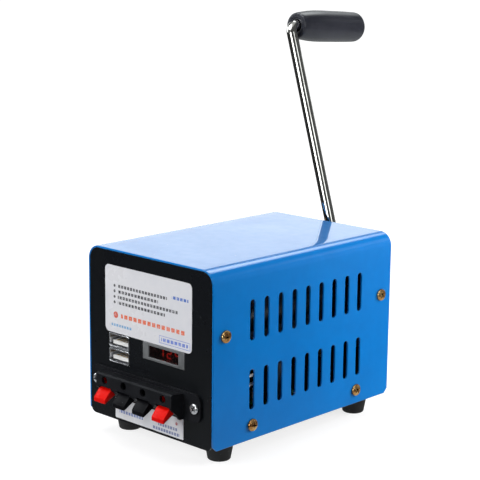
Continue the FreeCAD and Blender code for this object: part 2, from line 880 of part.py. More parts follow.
def make_lever(x):
    half = lever_width / 2
    out = lever_pivot_out
    pivot = lever_pivot_height
    arm_up = terminal_top_back - terminal_wall - slack - pivot
    arm = [(lever_arm_inner, arm_up), (lever_arm_outer, arm_up)]
    outline = lever_inner_outline + arm + lever_outer_outline
    shape = out_profile([(out + dx, pivot + dz) for dx, dz in outline], x - half, x + half)
    pin_half = half + lever_side_gap + lever_pin_length
    pin = rod(vec(x - pin_half, front_y - out, base_z + pivot), axis_x, lever_pin_radius, 2 * pin_half)
    hole = rod_y(x, base_z + wire_hole_height, front_y - out - 2, front_y - out + 2,
                 wire_hole_radius * lever_hole_share)
    return shape.fuse(pin).cut(hole)


def make_terminal_contacts():
    strips = []
    tag_z = base_z + lever_pivot_height
    for x in lever_centres():
        strip = box(x - contact_width / 2, x + contact_width / 2,
                    front_y - contact_out - contact_thickness, front_y - contact_out,
                    tag_z - contact_drop, base_z + terminal_top_back - terminal_wall - slack)
        tag = box(x - tag_width / 2, x + tag_width / 2, front_y - contact_out,
                  front_y + terminal_boss_depth + tag_reach,
                  tag_z - contact_thickness / 2, tag_z + contact_thickness / 2)
        strips.append(strip.fuse(tag))
    return group(strips)


def make_terminal_springs():
    # Bent leaves between each contact and its lever's arm.
    springs = []
    inner = contact_out + contact_thickness
    outer = lever_pivot_out + lever_inner_outline[-1][0] - slack
    low = lever_pivot_height + spring_start
    high = terminal_top_back - terminal_wall - slack
    tail = low + spring_tail
    t = spring_thickness
    for x in lever_centres():
        springs.append(out_profile([
            (inner, low),
            (inner + t, low),
            (inner + t, high - t),
            (outer - t, high - t),
            (outer - t, tail),
            (outer, tail),
            (outer, high),
            (inner, high),
        ], x - spring_width / 2, x + spring_width / 2))
    return group(springs)


def make_terminal_screws():
    length = terminal_flange_thickness + chassis_sheet + nut_height + thread_past_nut
    seat_y = front_y - terminal_flange_thickness
    screws = []
    for x in terminal_screw_xs:
        seat = vec(x, seat_y, terminal_screw_z)
        screws.append(screw(seat, axis_y * -1, length, screw_head_radius, screw_head_height))
    return group(screws)


def board_hole_places():
    half_x = board_width / 2 - board_hole_inset
    half_y = board_length / 2 - board_hole_inset
    return [(sx * half_x, board_centre_y + sy * half_y) for sx in (-1, 1) for sy in (-1, 1)]


board_z0 = floor_z + standoff_height
board_z1 = board_z0 + board_thickness
part_z = board_z1 + part_lift


def make_board():
    board = box(-board_width / 2, board_width / 2, board_centre_y - board_length / 2,
                board_centre_y + board_length / 2, board_z0, board_z1)
    for x, y in board_hole_places():
        board = board.cut(rod_z(x, y, board_z0 - 1, board_z1 + 1, screw_hole_radius))
    return board


def make_standoffs():
    posts = []
    for x, y in board_hole_places():
        post = rod_z(x, y, floor_z, board_z0, standoff_radius)
        posts.append(post.cut(rod_z(x, y, floor_z - 1, board_z0 + 1, thread_radius)))
    return group(posts)


def make_board_screws():
    screws = []
    for x, y in board_hole_places():
        seat = vec(x, y, board_z1)
        screws.append(screw(seat, axis_z, board_screw_length, standoff_radius, screw_head_height))
        seat = vec(x, y, base_z)
        screws.append(screw(seat, axis_z * -1, board_under_screw_length, standoff_radius, screw_head_height))
    return group(screws)


def make_capacitors():
    cans = [rod_z(capacitor_x, y, part_z, part_z + capacitor_height, capacitor_radius) for y in capacitor_ys]
    small_top = part_z + capacitor_small_height
    cans.append(rod_z(capacitor_x, capacitor_small_y, part_z, small_top, capacitor_small_radius))
    rounded = []
    for can in cans:
        rim = [e for e in can.Edges if e.BoundBox.ZLength < 0.01 and e.BoundBox.ZMin > part_z + 1]
        rounded.append(can.makeFillet(capacitor_edge_round, rim))
    return group(rounded)


def make_inductor():
    centre = vec(inductor_x, inductor_y, part_z + inductor_tube_radius)
    return Part.makeTorus(inductor_radius - inductor_tube_radius, inductor_tube_radius, centre, axis_z)


def make_heatsink():
    x0 = heatsink_x - heatsink_length / 2
    x1 = heatsink_x + heatsink_length / 2
    top = part_z + heatsink_height
    body = box(x0, x1, heatsink_y, heatsink_y + heatsink_back, part_z, top)
    step = (heatsink_length - heatsink_fin) / (heatsink_fin_count - 1)
    for i in range(heatsink_fin_count):
        x = x0 + i * step
        body = body.fuse(box(x, x + heatsink_fin, heatsink_y + heatsink_back,
                             heatsink_y + heatsink_back + heatsink_fin_reach, part_z, top))
    return body


def pin(x, y, body_z):
    # A flat leg from the board's upper face into a component's body.
    return box(x - pin_half_width, x + pin_half_width, y - pin_half_thickness, y + pin_half_thickness,
               board_z1, body_z + pin_overlap)


def make_regulator():
    x0 = heatsink_x - regulator_width / 2
    x1 = x0 + regulator_width
    low = part_z + regulator_lift
    high = low + regulator_height
    body = box(x0, x1, heatsink_y - regulator_thickness, heatsink_y, low, high)
    tab_y0 = heatsink_y - regulator_tab_thickness
    body = body.fuse(box(x0, x1, tab_y0, heatsink_y, low, high + regulator_tab_height))
    for i in (-1, 0, 1):
        body = body.fuse(pin(heatsink_x + i * regulator_pin_pitch, heatsink_y - regulator_pin_out, low))
    return body


def make_rectifier():
    x0 = rectifier_x - rectifier_width / 2
    y0 = rectifier_y - rectifier_thickness / 2
    low = part_z + rectifier_lift
    body = box(x0, x0 + rectifier_width, y0, y0 + rectifier_thickness, low, low + rectifier_height)
    for i in (-1.5, -0.5, 0.5, 1.5):
        body = body.fuse(pin(rectifier_x + i * rectifier_pin_pitch, rectifier_y, low))
    return body


def make_plate(y0, y1, crank_hole, lay_hole, screw_hole):
    centre_x = (plate_right - plate_left) / 2
    plate = rounded_slab(plate_left + plate_right, plate_top - plate_bottom, plate_corner_radius, centre_x,
                         plate_z0, y0, y1)
    tools = [rod_y(0, crank_z, y0 - 1, y1 + 1, crank_hole), rod_y(lay_x, lay_z, y0 - 1, y1 + 1, lay_hole)]
    for px, pz in pillar_places:
        tools.append(rod_y(px, pz, y0 - 1, y1 + 1, screw_hole))
    return plate.cut(group(tools))


def can_screw_places():
    angles = (can_screw_angle, can_screw_angle + 180)
    return [
        (rotor_x + can_screw_circle * math.cos(math.radians(a)),
         rotor_z + can_screw_circle * math.sin(math.radians(a)))
        for a in angles
    ]


def make_rear_plate():
    return make_plate(plate_rear_y0, inner_rear_y, crank_bush_radius + seat_gap, lay_bush_radius + seat_gap,
                      screw_hole_radius)


def make_front_plate():
    plate = make_plate(plate_front_y0, plate_front_y1, crank_bush_radius + seat_gap, lay_bush_radius + seat_gap,
                       screw_hole_radius)
    plate = plate.cut(rod_y(rotor_x, rotor_z, plate_front_y0 - 1, plate_front_y1 + 1,
                            can_boss_radius + seat_gap))
    for x, z in can_screw_places():
        plate = plate.cut(rod_y(x, z, plate_front_y0 - 1, plate_front_y1 + 1, screw_hole_radius))
    return plate


def make_pillars():
    pillars = []
    for px, pz in pillar_places:
        pillars.append(tube_y(px, pz, plate_front_y1, plate_rear_y0, pillar_radius, thread_radius))
    return group(pillars)


def make_gearbox_screws():
    rear_length = chassis_sheet + plate_thickness + pillar_thread
    front_length = plate_thickness + pillar_thread
    screws = []
    for px, pz in pillar_places:
        rear_seat = vec(px, rear_y, pz)
        front_seat = vec(px, plate_front_y0, pz)
        screws.append(screw(rear_seat, axis_y, rear_length, screw_head_radius, screw_head_height))
        screws.append(screw(front_seat, axis_y * -1, front_length, screw_head_radius, screw_head_height))
    return group(screws)


def make_crank_bush_rear():
    outer = rod_y(0, crank_z, plate_rear_y0, rear_y, crank_bush_radius)
    flange = rod_y(0, crank_z, rear_y, rear_y + crank_bush_flange, crank_bush_flange_radius)
    bore = rod_y(0, crank_z, plate_rear_y0 - 1, rear_y + crank_bush_flange + 1,
                 crank_shaft_radius + running_gap)
    return outer.fuse(flange).cut(bore)


def make_crank_bush_front():
    outer = rod_y(0, crank_z, plate_front_y0, plate_front_y1, crank_bush_radius)
    flange = rod_y(0, crank_z, plate_front_y1, plate_front_y1 + lay_bush_flange, crank_bush_flange_radius)
    bore = rod_y(0, crank_z, plate_front_y0 - 1, plate_front_y1 + lay_bush_flange + 1,
                 crank_shaft_radius + running_gap)
    return outer.fuse(flange).cut(bore)


def make_lay_bushes():
    bore = rod_y(lay_x, lay_z, plate_front_y0 - 1, inner_rear_y + 1, lay_shaft_radius + running_gap)
    front = rod_y(lay_x, lay_z, plate_front_y0, plate_front_y1, lay_bush_radius)
    front_flange_end = plate_front_y1 + lay_bush_flange
    front = front.fuse(rod_y(lay_x, lay_z, plate_front_y1, front_flange_end, lay_bush_flange_radius))
    rear = rod_y(lay_x, lay_z, plate_rear_y0, inner_rear_y, lay_bush_radius)
    rear_flange_start = plate_rear_y0 - lay_bush_flange
    rear = rear.fuse(rod_y(lay_x, lay_z, rear_flange_start, plate_rear_y0, lay_bush_flange_radius))
    return group([front.cut(bore), rear.cut(bore)])


crank_gear_y0 = plate_front_y1 + crank_gear_from_front_plate
crank_gear_y1 = crank_gear_y0 + crank_gear_width
lay_gear_y0 = plate_front_y1 + lay_gear_from_front_plate
lay_gear_y1 = lay_gear_y0 + lay_gear_width
lay_pinion_y0 = crank_gear_y0 - lay_pinion_overhang
lay_pinion_y1 = crank_gear_y1 + lay_pinion_overhang
rotor_pinion_y0 = lay_gear_y0 - rotor_pinion_overhang
rotor_pinion_y1 = lay_gear_y1 + rotor_pinion_overhang
arm_y = rear_y + crank_arm_behind_panel
arm_lean = math.radians(crank_lean)
arm_direction = vec(-math.sin(arm_lean), 0, math.cos(arm_lean))
washer_y1 = rear_y + crank_bush_flange + hub_washer_thickness
hub_y0 = washer_y1 + axial_gap
hub_y1 = arm_y + hub_end
crank_shaft_y1 = arm_y - crank_rod_radius - axial_gap
elbow = vec(0, arm_y, crank_z) + arm_direction * crank_arm_length
grip_droop = math.radians(crank_elbow_past_square)
grip_direction = axis_y * math.cos(grip_droop) - arm_direction * math.sin(grip_droop)
grip_start = elbow + grip_direction * (crank_elbow_radius + grip_start_gap)


def make_crank_shaft():
    return rod_y(0, crank_z, plate_front_y0 + shaft_end_gap, crank_shaft_y1, crank_shaft_radius)


def lighten(gear, x, z, y0, y1, inner, outer):
    # Shallow rings turned into both faces of a gear wheel.
    for start in (y0, y1 - gear_web_inset):
        gear = gear.cut(tube_y(x, z, start, start + gear_web_inset, outer, inner))
    return gear


def make_crank_gear():
    gear = spur_gear(0, crank_z, crank_gear_y0, crank_gear_y1, crank_gear_teeth, lay_angle,
                     crank_shaft_radius + seat_gap)
    rim = gear_module * crank_gear_teeth / 2 - gear_rim
    step = crank_gear_boss_radius + gear_boss_step
    gear = lighten(gear, 0, crank_z, crank_gear_y0, crank_gear_y1, step, rim)
    boss_end = plate_rear_y0 - slack
    return gear.fuse(tube_y(0, crank_z, crank_gear_y1, boss_end, crank_gear_boss_radius,
                            crank_shaft_radius + seat_gap))


def make_lay_shaft():
    return rod_y(lay_x, lay_z, plate_front_y0 + shaft_end_gap, inner_rear_y - shaft_end_gap, lay_shaft_radius)


def make_lay_gear():
    bore = lay_shaft_radius + seat_gap
    gear = spur_gear(lay_x, lay_z, lay_gear_y0, lay_gear_y1, lay_gear_teeth, rotor_angle, bore)
    rim = gear_module * lay_gear_teeth / 2 - gear_rim
    step = lay_gear_boss_radius + gear_boss_step
    gear = lighten(gear, lay_x, lay_z, lay_gear_y0, lay_gear_y1, step, rim)
    boss_start = plate_front_y1 + lay_bush_flange + slack
    gear = gear.fuse(tube_y(lay_x, lay_z, boss_start, lay_gear_y0, lay_gear_boss_radius, bore))
    return gear.fuse(tube_y(lay_x, lay_z, lay_gear_y1, lay_pinion_y0, lay_gear_boss_radius, bore))


def make_lay_pinion():
    direction = meshed_direction(lay_angle + 180, lay_pinion_teeth)
    return spur_gear(lay_x, lay_z, lay_pinion_y0, lay_pinion_y1, lay_pinion_teeth, direction,
                     lay_shaft_radius + seat_gap)


def make_rotor_pinion():
    direction = meshed_direction(rotor_angle + 180, rotor_pinion_teeth)
    return spur_gear(rotor_x, rotor_z, rotor_pinion_y0, rotor_pinion_y1, rotor_pinion_teeth, direction,
                     rotor_shaft_radius + seat_gap)


can_y1 = plate_front_y0
can_y0 = can_y1 - can_length
magnet_y1 = can_y1 - can_front_wall - magnet_setback
magnet_y0 = can_y0 + magnet_brush_room
core_y1 = magnet_y1 - rotor_core_inset
core_y0 = magnet_y0 + rotor_core_inset
can_inner = can_radius - can_wall
magnet_inner = can_inner - magnet_thickness
core_radius = magnet_inner - air_gap
cap_y0 = can_y0 - end_cap_thickness
commutator_y0 = can_y0 + end_cap_spigot + commutator_gap


def make_can():
    can = tube_y(rotor_x, rotor_z, can_y0, can_y1, can_radius, can_inner)
    wall = rod_y(rotor_x, rotor_z, can_y1 - can_front_wall, can_y1, can_radius)
    boss = rod_y(rotor_x, rotor_z, can_y1, can_y1 + plate_thickness, can_boss_radius)
    can = can.fuse(wall).fuse(boss)
    tools = [rod_y(rotor_x, rotor_z, can_y0, can_y1 + plate_thickness + 1, rotor_shaft_radius + running_gap)]
    for x, z in can_screw_places():
        tools.append(rod_y(x, z, can_y1 - can_front_wall - 1, can_y1 + 1, thread_radius))
    return can.cut(group(tools))


def make_magnets():
    # Two curved blocks left and right of the rotor, seated on the can's inner wall.
    arcs = []
    for middle in (0.0, 180.0):
        ring = tube_y(rotor_x, rotor_z, magnet_y0, magnet_y1, can_inner - seat_gap, magnet_inner)
        start = math.radians(middle - magnet_angle / 2)
        end = math.radians(middle + magnet_angle / 2)
        far = 3 * can_radius
        points = [vec(rotor_x, magnet_y0, rotor_z)]
        for k in range(5):
            a = start + (end - start) * k / 4
            points.append(vec(rotor_x + far * math.cos(a), magnet_y0, rotor_z + far * math.sin(a)))
        wedge = polygon_face(points).extrude(vec(0, magnet_y1 - magnet_y0, 0))
        arcs.append(ring.common(wedge))
    return group(arcs)


def make_end_cap():
    disc = rod_y(rotor_x, rotor_z, cap_y0, can_y0, can_radius)
    spigot = tube_y(rotor_x, rotor_z, can_y0, can_y0 + end_cap_spigot, can_inner - seat_gap,
                    can_inner - end_cap_spigot_wall)
    boss = rod_y(rotor_x, rotor_z, cap_y0 - end_boss_length, cap_y0, end_boss_radius)
    cap = disc.fuse(spigot).fuse(boss)
    bore_start = cap_y0 - end_boss_length + end_boss_wall
    bore = rod_y(rotor_x, rotor_z, bore_start, can_y0 + 1, rotor_shaft_radius + running_gap)
    return cap.cut(bore)


def make_brushes():
    # Two carbon brushes with their spring blades and outside tags, above and below the commutator.
    brushes = []
    middle = commutator_y0 + brush_setback
    for side in (-1, 1):
        inner = commutator_radius + slack
        outer = inner + brush_height
        half = brush_width / 2
        z0, z1 = sorted((rotor_z + side * inner, rotor_z + side * outer))
        block = box(rotor_x - half, rotor_x + half, middle - half, middle + half, z0, z1)
        z0, z1 = sorted((rotor_z + side * outer, rotor_z + side * (outer + brush_blade_thickness)))
        blade_half = brush_blade_width / 2
        blade = box(rotor_x - blade_half, rotor_x + blade_half, can_y0, middle + half, z0, z1)
        brushes.append(block.fuse(blade))
    return group(brushes)


def make_can_screws():
    screws = []
    for x, z in can_screw_places():
        seat = vec(x, plate_front_y1, z)
        screws.append(screw(seat, axis_y, can_screw_length, can_screw_head_radius, can_screw_head_height))
    return group(screws)


def make_rotor_shaft():
    start = cap_y0 - end_boss_length + end_boss_wall + rotor_end_gap
    return rod_y(rotor_x, rotor_z, start, rotor_pinion_y1, rotor_shaft_radius)


def rotor_slot(i, y0, y1, width, outer, inner):
    # A radial block at one of the evenly spaced rotor slots.
    block = box(-width / 2, width / 2, y0, y1, inner, outer)
    block.rotate(vec(0, 0, 0), axis_y, 360.0 * i / rotor_pole_count)
    block.translate(vec(rotor_x, 0, rotor_z))
    return block


def make_rotor_core():
    core = rod_y(rotor_x, rotor_z, core_y0, core_y1, core_radius)
    inner = core_radius - rotor_slot_depth
    for i in range(rotor_pole_count):
        core = core.cut(rotor_slot(i, core_y0 - 1, core_y1 + 1, rotor_slot_width, core_radius + 1, inner))
    return core.cut(rod_y(rotor_x, rotor_z, core_y0 - 1, core_y1 + 1, rotor_shaft_radius + seat_gap))


def make_rotor_windings():
    # Copper in each slot, with the end turns as one ring at each end of the core.
    outer = core_radius - winding_inset
    inner = core_radius - rotor_slot_depth
    width = rotor_slot_width - 2 * seat_gap
    coil = tube_y(rotor_x, rotor_z, core_y0 - winding_overhang, core_y0 - seat_gap, outer, inner)
    coil = coil.fuse(tube_y(rotor_x, rotor_z, core_y1 + seat_gap, core_y1 + winding_overhang, outer, inner))
    for i in range(rotor_pole_count):
        coil = coil.fuse(rotor_slot(i, core_y0 - 1, core_y1 + 1, width, outer, inner + seat_gap))
    return coil


def make_commutator():
    return tube_y(rotor_x, rotor_z, commutator_y0, commutator_y0 + commutator_length, commutator_radius,
                  rotor_shaft_radius + seat_gap)


def make_hub_washer():
    return tube_y(0, crank_z, rear_y + crank_bush_flange, washer_y1, hub_washer_radius,
                  crank_shaft_radius + running_gap)


def make_crank_hub():
    hub = rod_y(0, crank_z, hub_y0, hub_y1, hub_radius)
    rims = [e for e in hub.Edges if e.BoundBox.YLength < 0.01]
    hub = hub.makeFillet(hub_edge_round, rims)
    hub = hub.cut(rod_y(0, crank_z, hub_y0 - 1, crank_shaft_y1 + axial_gap, crank_shaft_radius + seat_gap))
    start = vec(0, arm_y, crank_z) - arm_direction * (2 * hub_radius)
    hub = hub.cut(rod(start, arm_direction, crank_rod_radius + seat_gap, 4 * hub_radius))
    for start, direction, length in grub_places():
        hub = hub.cut(rod(start, direction, grub_radius + thread_gap, length))
    return hub


def grub_places():
    # Each grub screw's inner end, its direction and the depth of its threaded hole.
    across = vec(math.cos(arm_lean), 0, math.sin(arm_lean))
    shaft_middle = vec(0, (hub_y0 + crank_shaft_y1) / 2, crank_z)
    radial = (shaft_middle + across * (crank_shaft_radius + axial_gap), across, hub_radius)
    end = (vec(0, arm_y + crank_rod_radius + axial_gap, crank_z), axis_y, hub_end)
    return [radial, end]


def make_grub_screws():
    lengths = (grub_length, hub_end - crank_rod_radius - axial_gap - grub_sunk)
    screws = []
    for (start, direction, hole), length in zip(grub_places(), lengths):
        grub = rod(start, direction, grub_radius, length)
        socket = rod(start + direction * (length - grub_socket_depth), direction, grub_socket_radius, hole)
        screws.append(grub.cut(socket))
    return group(screws)


def make_crank_arm():
    centre = vec(0, arm_y, crank_z)
    inside_grip = grip_length - grip_end_wall - retainer_thickness - retainer_groove_gap
    points = [centre - arm_direction * crank_tail, elbow, grip_start + grip_direction * inside_grip]
    return lead(points, crank_rod_radius, crank_elbow_radius)


def grip_outline(bore):
    # Half of the grip's section, as (distance from its near end, radius).
    end = grip_length
    shoulder = grip_far_radius - grip_end_round
    bite = grip_end_round * (1 - math.sqrt(0.5))
    swell_half = grip_swell_at / 2
    rise = grip_near_radius + (grip_swell_radius - grip_near_radius) * grip_swell_share
    near = vec(0, grip_near_radius, 0)
    swell = vec(grip_swell_at, grip_swell_radius, 0)
    far = vec(end - grip_end_round, grip_far_radius, 0)
    crown = vec(end, shoulder, 0)
    return [
        Part.LineSegment(vec(0, bore, 0), near).toShape(),
        Part.Arc(near, vec(swell_half, rise, 0), swell).toShape(),
        Part.LineSegment(swell, far).toShape(),
        Part.Arc(far, vec(end - bite, grip_far_radius - bite, 0), crown).toShape(),
        Part.LineSegment(crown, vec(end, 0, 0)).toShape(),
        Part.LineSegment(vec(end, 0, 0), vec(end - grip_end_wall, 0, 0)).toShape(),
        Part.LineSegment(vec(end - grip_end_wall, 0, 0), vec(end - grip_end_wall, bore, 0)).toShape(),
        Part.LineSegment(vec(end - grip_end_wall, bore, 0), vec(0, bore, 0)).toShape(),
    ]


def make_grip():
    bore = crank_rod_radius + running_gap
    face = Part.Face(Part.Wire(grip_outline(bore)))
    body = face.revolve(vec(0, 0, 0), axis_x, 360)
    groove_length = retainer_thickness + 2 * retainer_groove_gap + rod_tip
    groove_start = vec(grip_length - grip_end_wall - groove_length, 0, 0)
    groove = rod(groove_start, axis_x, retainer_radius + retainer_groove_gap, groove_length)
    body = body.cut(groove)
    body.Placement = FreeCAD.Placement(grip_start, FreeCAD.Rotation(axis_x, grip_direction))
    return body


def make_grip_retainer():
    # A push-on ring near the rod's tip, inside the grip's blind end.
    inside_grip = grip_length - grip_end_wall - retainer_groove_gap - rod_tip - retainer_thickness
    start = grip_start + grip_direction * inside_grip
    ring = rod(start, grip_direction, retainer_radius, retainer_thickness)
    return ring.cut(rod(start, grip_direction, crank_rod_radius + seat_gap, retainer_thickness))


def make_output_leads():
    # White leads from two terminal tags, up beside the right wall and down to the board.
    leads = []
    tag_y = front_y + terminal_boss_depth + tag_reach
    tag_z = base_z + lever_pivot_height
    crest_y = tag_y + output_lead_crest_back
    land_y = tag_y + output_lead_land_back
    starts = (lever_centres()[3], lever_centres()[2])
    for i, x in enumerate(starts):
        wall_x = inner_half - output_lead_wall_gaps[i]
        land_x = output_lead_land_xs[i]
        leads.append(lead([
            vec(x, tag_y + slack, tag_z),
            vec(x, tag_y + output_lead_first_run, tag_z),
            vec(wall_x, tag_y + output_lead_rise_backs[i], tag_z + output_lead_rise_ups[i]),
            vec(wall_x, crest_y, tag_z + output_lead_crest_ups[i]),
            vec(land_x, land_y, tag_z + output_lead_land_ups[i]),
            vec(land_x, land_y, board_z1 + slack),
        ], lead_radius, lead_bend))
    return group(leads)


def make_motor_leads():
    # Leads from the end cap's brush tags down to the board.
    leads = []
    for side in (-1, 1):
        x = rotor_x + side * motor_lead_spread
        z = rotor_z - motor_lead_below_axis
        land_x = side * motor_lead_land_spread
        drop_y = cap_y0 - motor_lead_drop_forward
        leads.append(lead([
            vec(x, cap_y0 - slack, z),
            vec(x, cap_y0 - motor_lead_first_run, z),
            vec(land_x, drop_y, rotor_z - motor_lead_drop),
            vec(land_x, drop_y, board_z1 + slack),
        ], lead_radius, lead_bend))
    return group(leads)


def main():
    os.makedirs("parts", exist_ok=True)
    save("cover_shell", make_cover())
    save("chassis_frame", make_chassis())
    save("cover_screws", make_cover_screws())
    save("rubber_feet", make_feet())
    save("foot_screws", make_foot_screws())
    save("small_nuts", make_nuts())
    save("upper_label", make_label(upper_label_width, upper_label_height, upper_label_centre_x,
                                   upper_label_bottom, upper_label_corner))
    save("lower_label", make_label(lower_label_width, lower_label_height, lower_label_centre_x,
                                   lower_label_bottom, lower_label_corner))
    save("usb_shell", make_usb_shell())
    save("usb_insulator", make_usb_insulator())
    save("usb_contacts", make_usb_contacts())
    save("meter_case", make_meter_case())
    save("meter_window", make_meter_window())
    save("meter_digits", make_meter_digits())
    save("terminal_body", make_terminal_body())
    lever_names = ("lever_red_left", "lever_black_left", "lever_black_right", "lever_red_right")
    for name, x in zip(lever_names, lever_centres()):
        save(name, make_lever(x))
    save("terminal_contacts", make_terminal_contacts())
    save("terminal_springs", make_terminal_springs())
    save("terminal_screws", make_terminal_screws())
    save("regulator_board", make_board())
    save("board_standoffs", make_standoffs())
    save("board_screws", make_board_screws())
    save("board_capacitors", make_capacitors())
    save("board_inductor", make_inductor())
    save("board_heatsink", make_heatsink())
    save("board_regulator", make_regulator())
    save("board_rectifier", make_rectifier())
    save("gearbox_rear_plate", make_rear_plate())
    save("gearbox_front_plate", make_front_plate())
    save("gearbox_pillars", make_pillars())
    save("gearbox_screws", make_gearbox_screws())
    save("crank_bush_rear", make_crank_bush_rear())
    save("crank_bush_front", make_crank_bush_front())
    save("layshaft_bushes", make_lay_bushes())
    save("crank_shaft", make_crank_shaft())
    save("crank_gear", make_crank_gear())
    save("layshaft", make_lay_shaft())
    save("layshaft_gear", make_lay_gear())
    save("layshaft_pinion", make_lay_pinion())
    save("generator_can", make_can())
    save("generator_magnets", make_magnets())
    save("generator_end_cap", make_end_cap())
    save("generator_brushes", make_brushes())
    save("generator_screws", make_can_screws())
    save("rotor_shaft", make_rotor_shaft())
    save("rotor_core", make_rotor_core())
    save("rotor_windings", make_rotor_windings())
    save("rotor_commutator", make_commutator())
    save("rotor_pinion", make_rotor_pinion())
    save("hub_washer", make_hub_washer())
    save("crank_hub", make_crank_hub())
    save("hub_grub_screws", make_grub_screws())
    save("crank_arm", make_crank_arm())
    save("crank_grip", make_grip())
    save("grip_retainer", make_grip_retainer())
    save("output_leads", make_output_leads())
    save("motor_leads", make_motor_leads())


main()
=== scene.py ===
import math
import bmesh
import bpy
import numpy as np
from mathutils import Matrix, Vector


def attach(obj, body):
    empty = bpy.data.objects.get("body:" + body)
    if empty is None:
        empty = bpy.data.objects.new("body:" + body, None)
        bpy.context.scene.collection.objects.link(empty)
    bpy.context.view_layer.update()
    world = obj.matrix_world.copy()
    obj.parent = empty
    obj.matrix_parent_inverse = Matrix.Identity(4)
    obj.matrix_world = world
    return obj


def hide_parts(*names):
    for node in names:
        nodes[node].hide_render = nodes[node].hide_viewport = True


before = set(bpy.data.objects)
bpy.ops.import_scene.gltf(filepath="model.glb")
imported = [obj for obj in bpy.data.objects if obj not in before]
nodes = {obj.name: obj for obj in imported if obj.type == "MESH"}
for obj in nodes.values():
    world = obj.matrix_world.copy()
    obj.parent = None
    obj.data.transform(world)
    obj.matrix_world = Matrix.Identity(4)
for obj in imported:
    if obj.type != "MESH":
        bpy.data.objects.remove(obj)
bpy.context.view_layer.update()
print("frame loaded:", len(nodes), "nodes")

scene = bpy.context.scene
mm = 0.001


def addObject(name, data):
    thing = bpy.data.objects.new(name, data)
    scene.collection.objects.link(thing)
    return thing


# Camera

cameraSpec = {
    "place": (0.4885, -0.5172, 0.2440),
    "turn": -43.60,      # degrees from looking along +Y
    "dip": -11.78, "roll": 0.58, "lens": 106.67, "sensor": 36.0,
}


def makeCamera(spec):
    data = bpy.data.cameras.new("camera")
    data.lens = spec["lens"]
    data.sensor_width = spec["sensor"]
    camera = addObject("camera", data)
    turn, dip, roll = (math.radians(spec[key]) for key in ("turn", "dip", "roll"))
    forward = Vector((math.sin(turn) * math.cos(dip), math.cos(turn) * math.cos(dip), math.sin(dip)))
    aim = forward.to_track_quat("-Z", "Y").to_matrix().to_4x4()
    camera.matrix_world = Matrix.Translation(spec["place"]) @ aim @ Matrix.Rotation(roll, 4, "Z")
    scene.camera = camera


makeCamera(cameraSpec)


# Node helpers

def wire(tree, node, links):
    # A socket value in links is wired, anything else is set as the input's own value
    for socket, value in links.items():
        if isinstance(value, bpy.types.NodeSocket):
            tree.links.new(value, node.inputs[socket])
        else:
            node.inputs[socket].default_value = value
    return node


def put(tree, kind, links, **settings):
    # Adds one shader node. Its settings come first, because some of them change its sockets
    node = tree.nodes.new("ShaderNode" + kind)
    for key, value in settings.items():
        setattr(node, key, value)
    return wire(tree, node, links)


def use(tree, group, point, **links):
    return put(tree, "Group", {"Point": point, **links}, node_tree=group).outputs


def calc(tree, operation, *values):
    return put(tree, "Math", dict(enumerate(values)), operation=operation).outputs[0]


def times(tree, first, second):
    return calc(tree, "MULTIPLY", first, second)


def vectorCalc(tree, operation, *vectors):
    return put(tree, "VectorMath", dict(enumerate(vectors)), operation=operation).outputs["Vector"]


def measure(tree, operation, *vectors):
    # Vector sums that end in one number: a dot product, a length or a distance
    return put(tree, "VectorMath", dict(enumerate(vectors)), operation=operation).outputs["Value"]


def spread(tree, value, low, high, start=0.0, end=1.0):
    # Carries a value from the range low..high to start..end, held at both ends
    return put(tree, "MapRange", {0: value, 1: low, 2: high, 3: start, 4: end}).outputs[0]


def noise(tree, point, scale, detail=2.0, distortion=0.0):
    links = {"Vector": point, "Scale": scale, "Detail": detail, "Distortion": distortion}
    return put(tree, "TexNoise", links).outputs["Fac"]


def cells(tree, point, scale):
    return put(tree, "TexVoronoi", {"Vector": point, "Scale": scale}).outputs


def linearColor(color):
    # A triple is a screen colour, 0..255. Sockets and linear colours of four numbers stay as they are
    if isinstance(color, bpy.types.NodeSocket) or len(color) == 4:
        return color
    flat = np.array(color) / 255.0
    linear = np.where(flat <= 0.04045, flat / 12.92, ((flat + 0.055) / 1.055) ** 2.4)
    return (*linear.tolist(), 1.0)


def mixColor(tree, factor, first, second):
    links = {0: factor, 6: linearColor(first), 7: linearColor(second)}
    return put(tree, "Mix", links, data_type="RGBA").outputs[2]


def mixNumber(tree, factor, first, second):
    return put(tree, "Mix", {0: factor, 2: first, 3: second}, data_type="FLOAT").outputs[0]


def startGroup(name, inputs, outputs):
    # Every group takes a point. Its other inputs are vectors where their default is one, and its outputs are numbers
    group = bpy.data.node_groups.new(name, "ShaderNodeTree")
    for label, default in {"Point": (0.0, 0.0, 0.0), **inputs}.items():
        kind = "NodeSocketFloat" if isinstance(default, float) else "NodeSocketVector"
        group.interface.new_socket(name=label, in_out="INPUT", socket_type=kind).default_value = default
    for label in outputs:
        group.interface.new_socket(name=label, in_out="OUTPUT", socket_type="NodeSocketFloat")
    return group, group.nodes.new("NodeGroupInput").outputs, group.nodes.new("NodeGroupOutput").inputs


def endGroup(group, give, **results):
    for label, value in results.items():
        group.links.new(value, give[label])
    return group


def buildOrangePeel():
    # Two sizes of soft noise: the slow roll of sprayed paint and its fine dimple
    slowCells, slowHeight = 0.22, 2.5
    group, take, give = startGroup("orangePeel", {"Cells": 700.0}, ["Height"])
    fine = noise(group, take["Point"], take["Cells"])
    slow = noise(group, take["Point"], times(group, take["Cells"], slowCells), 1.0)
    return endGroup(group, give, Height=calc(group, "ADD", fine, times(group, slow, slowHeight)))


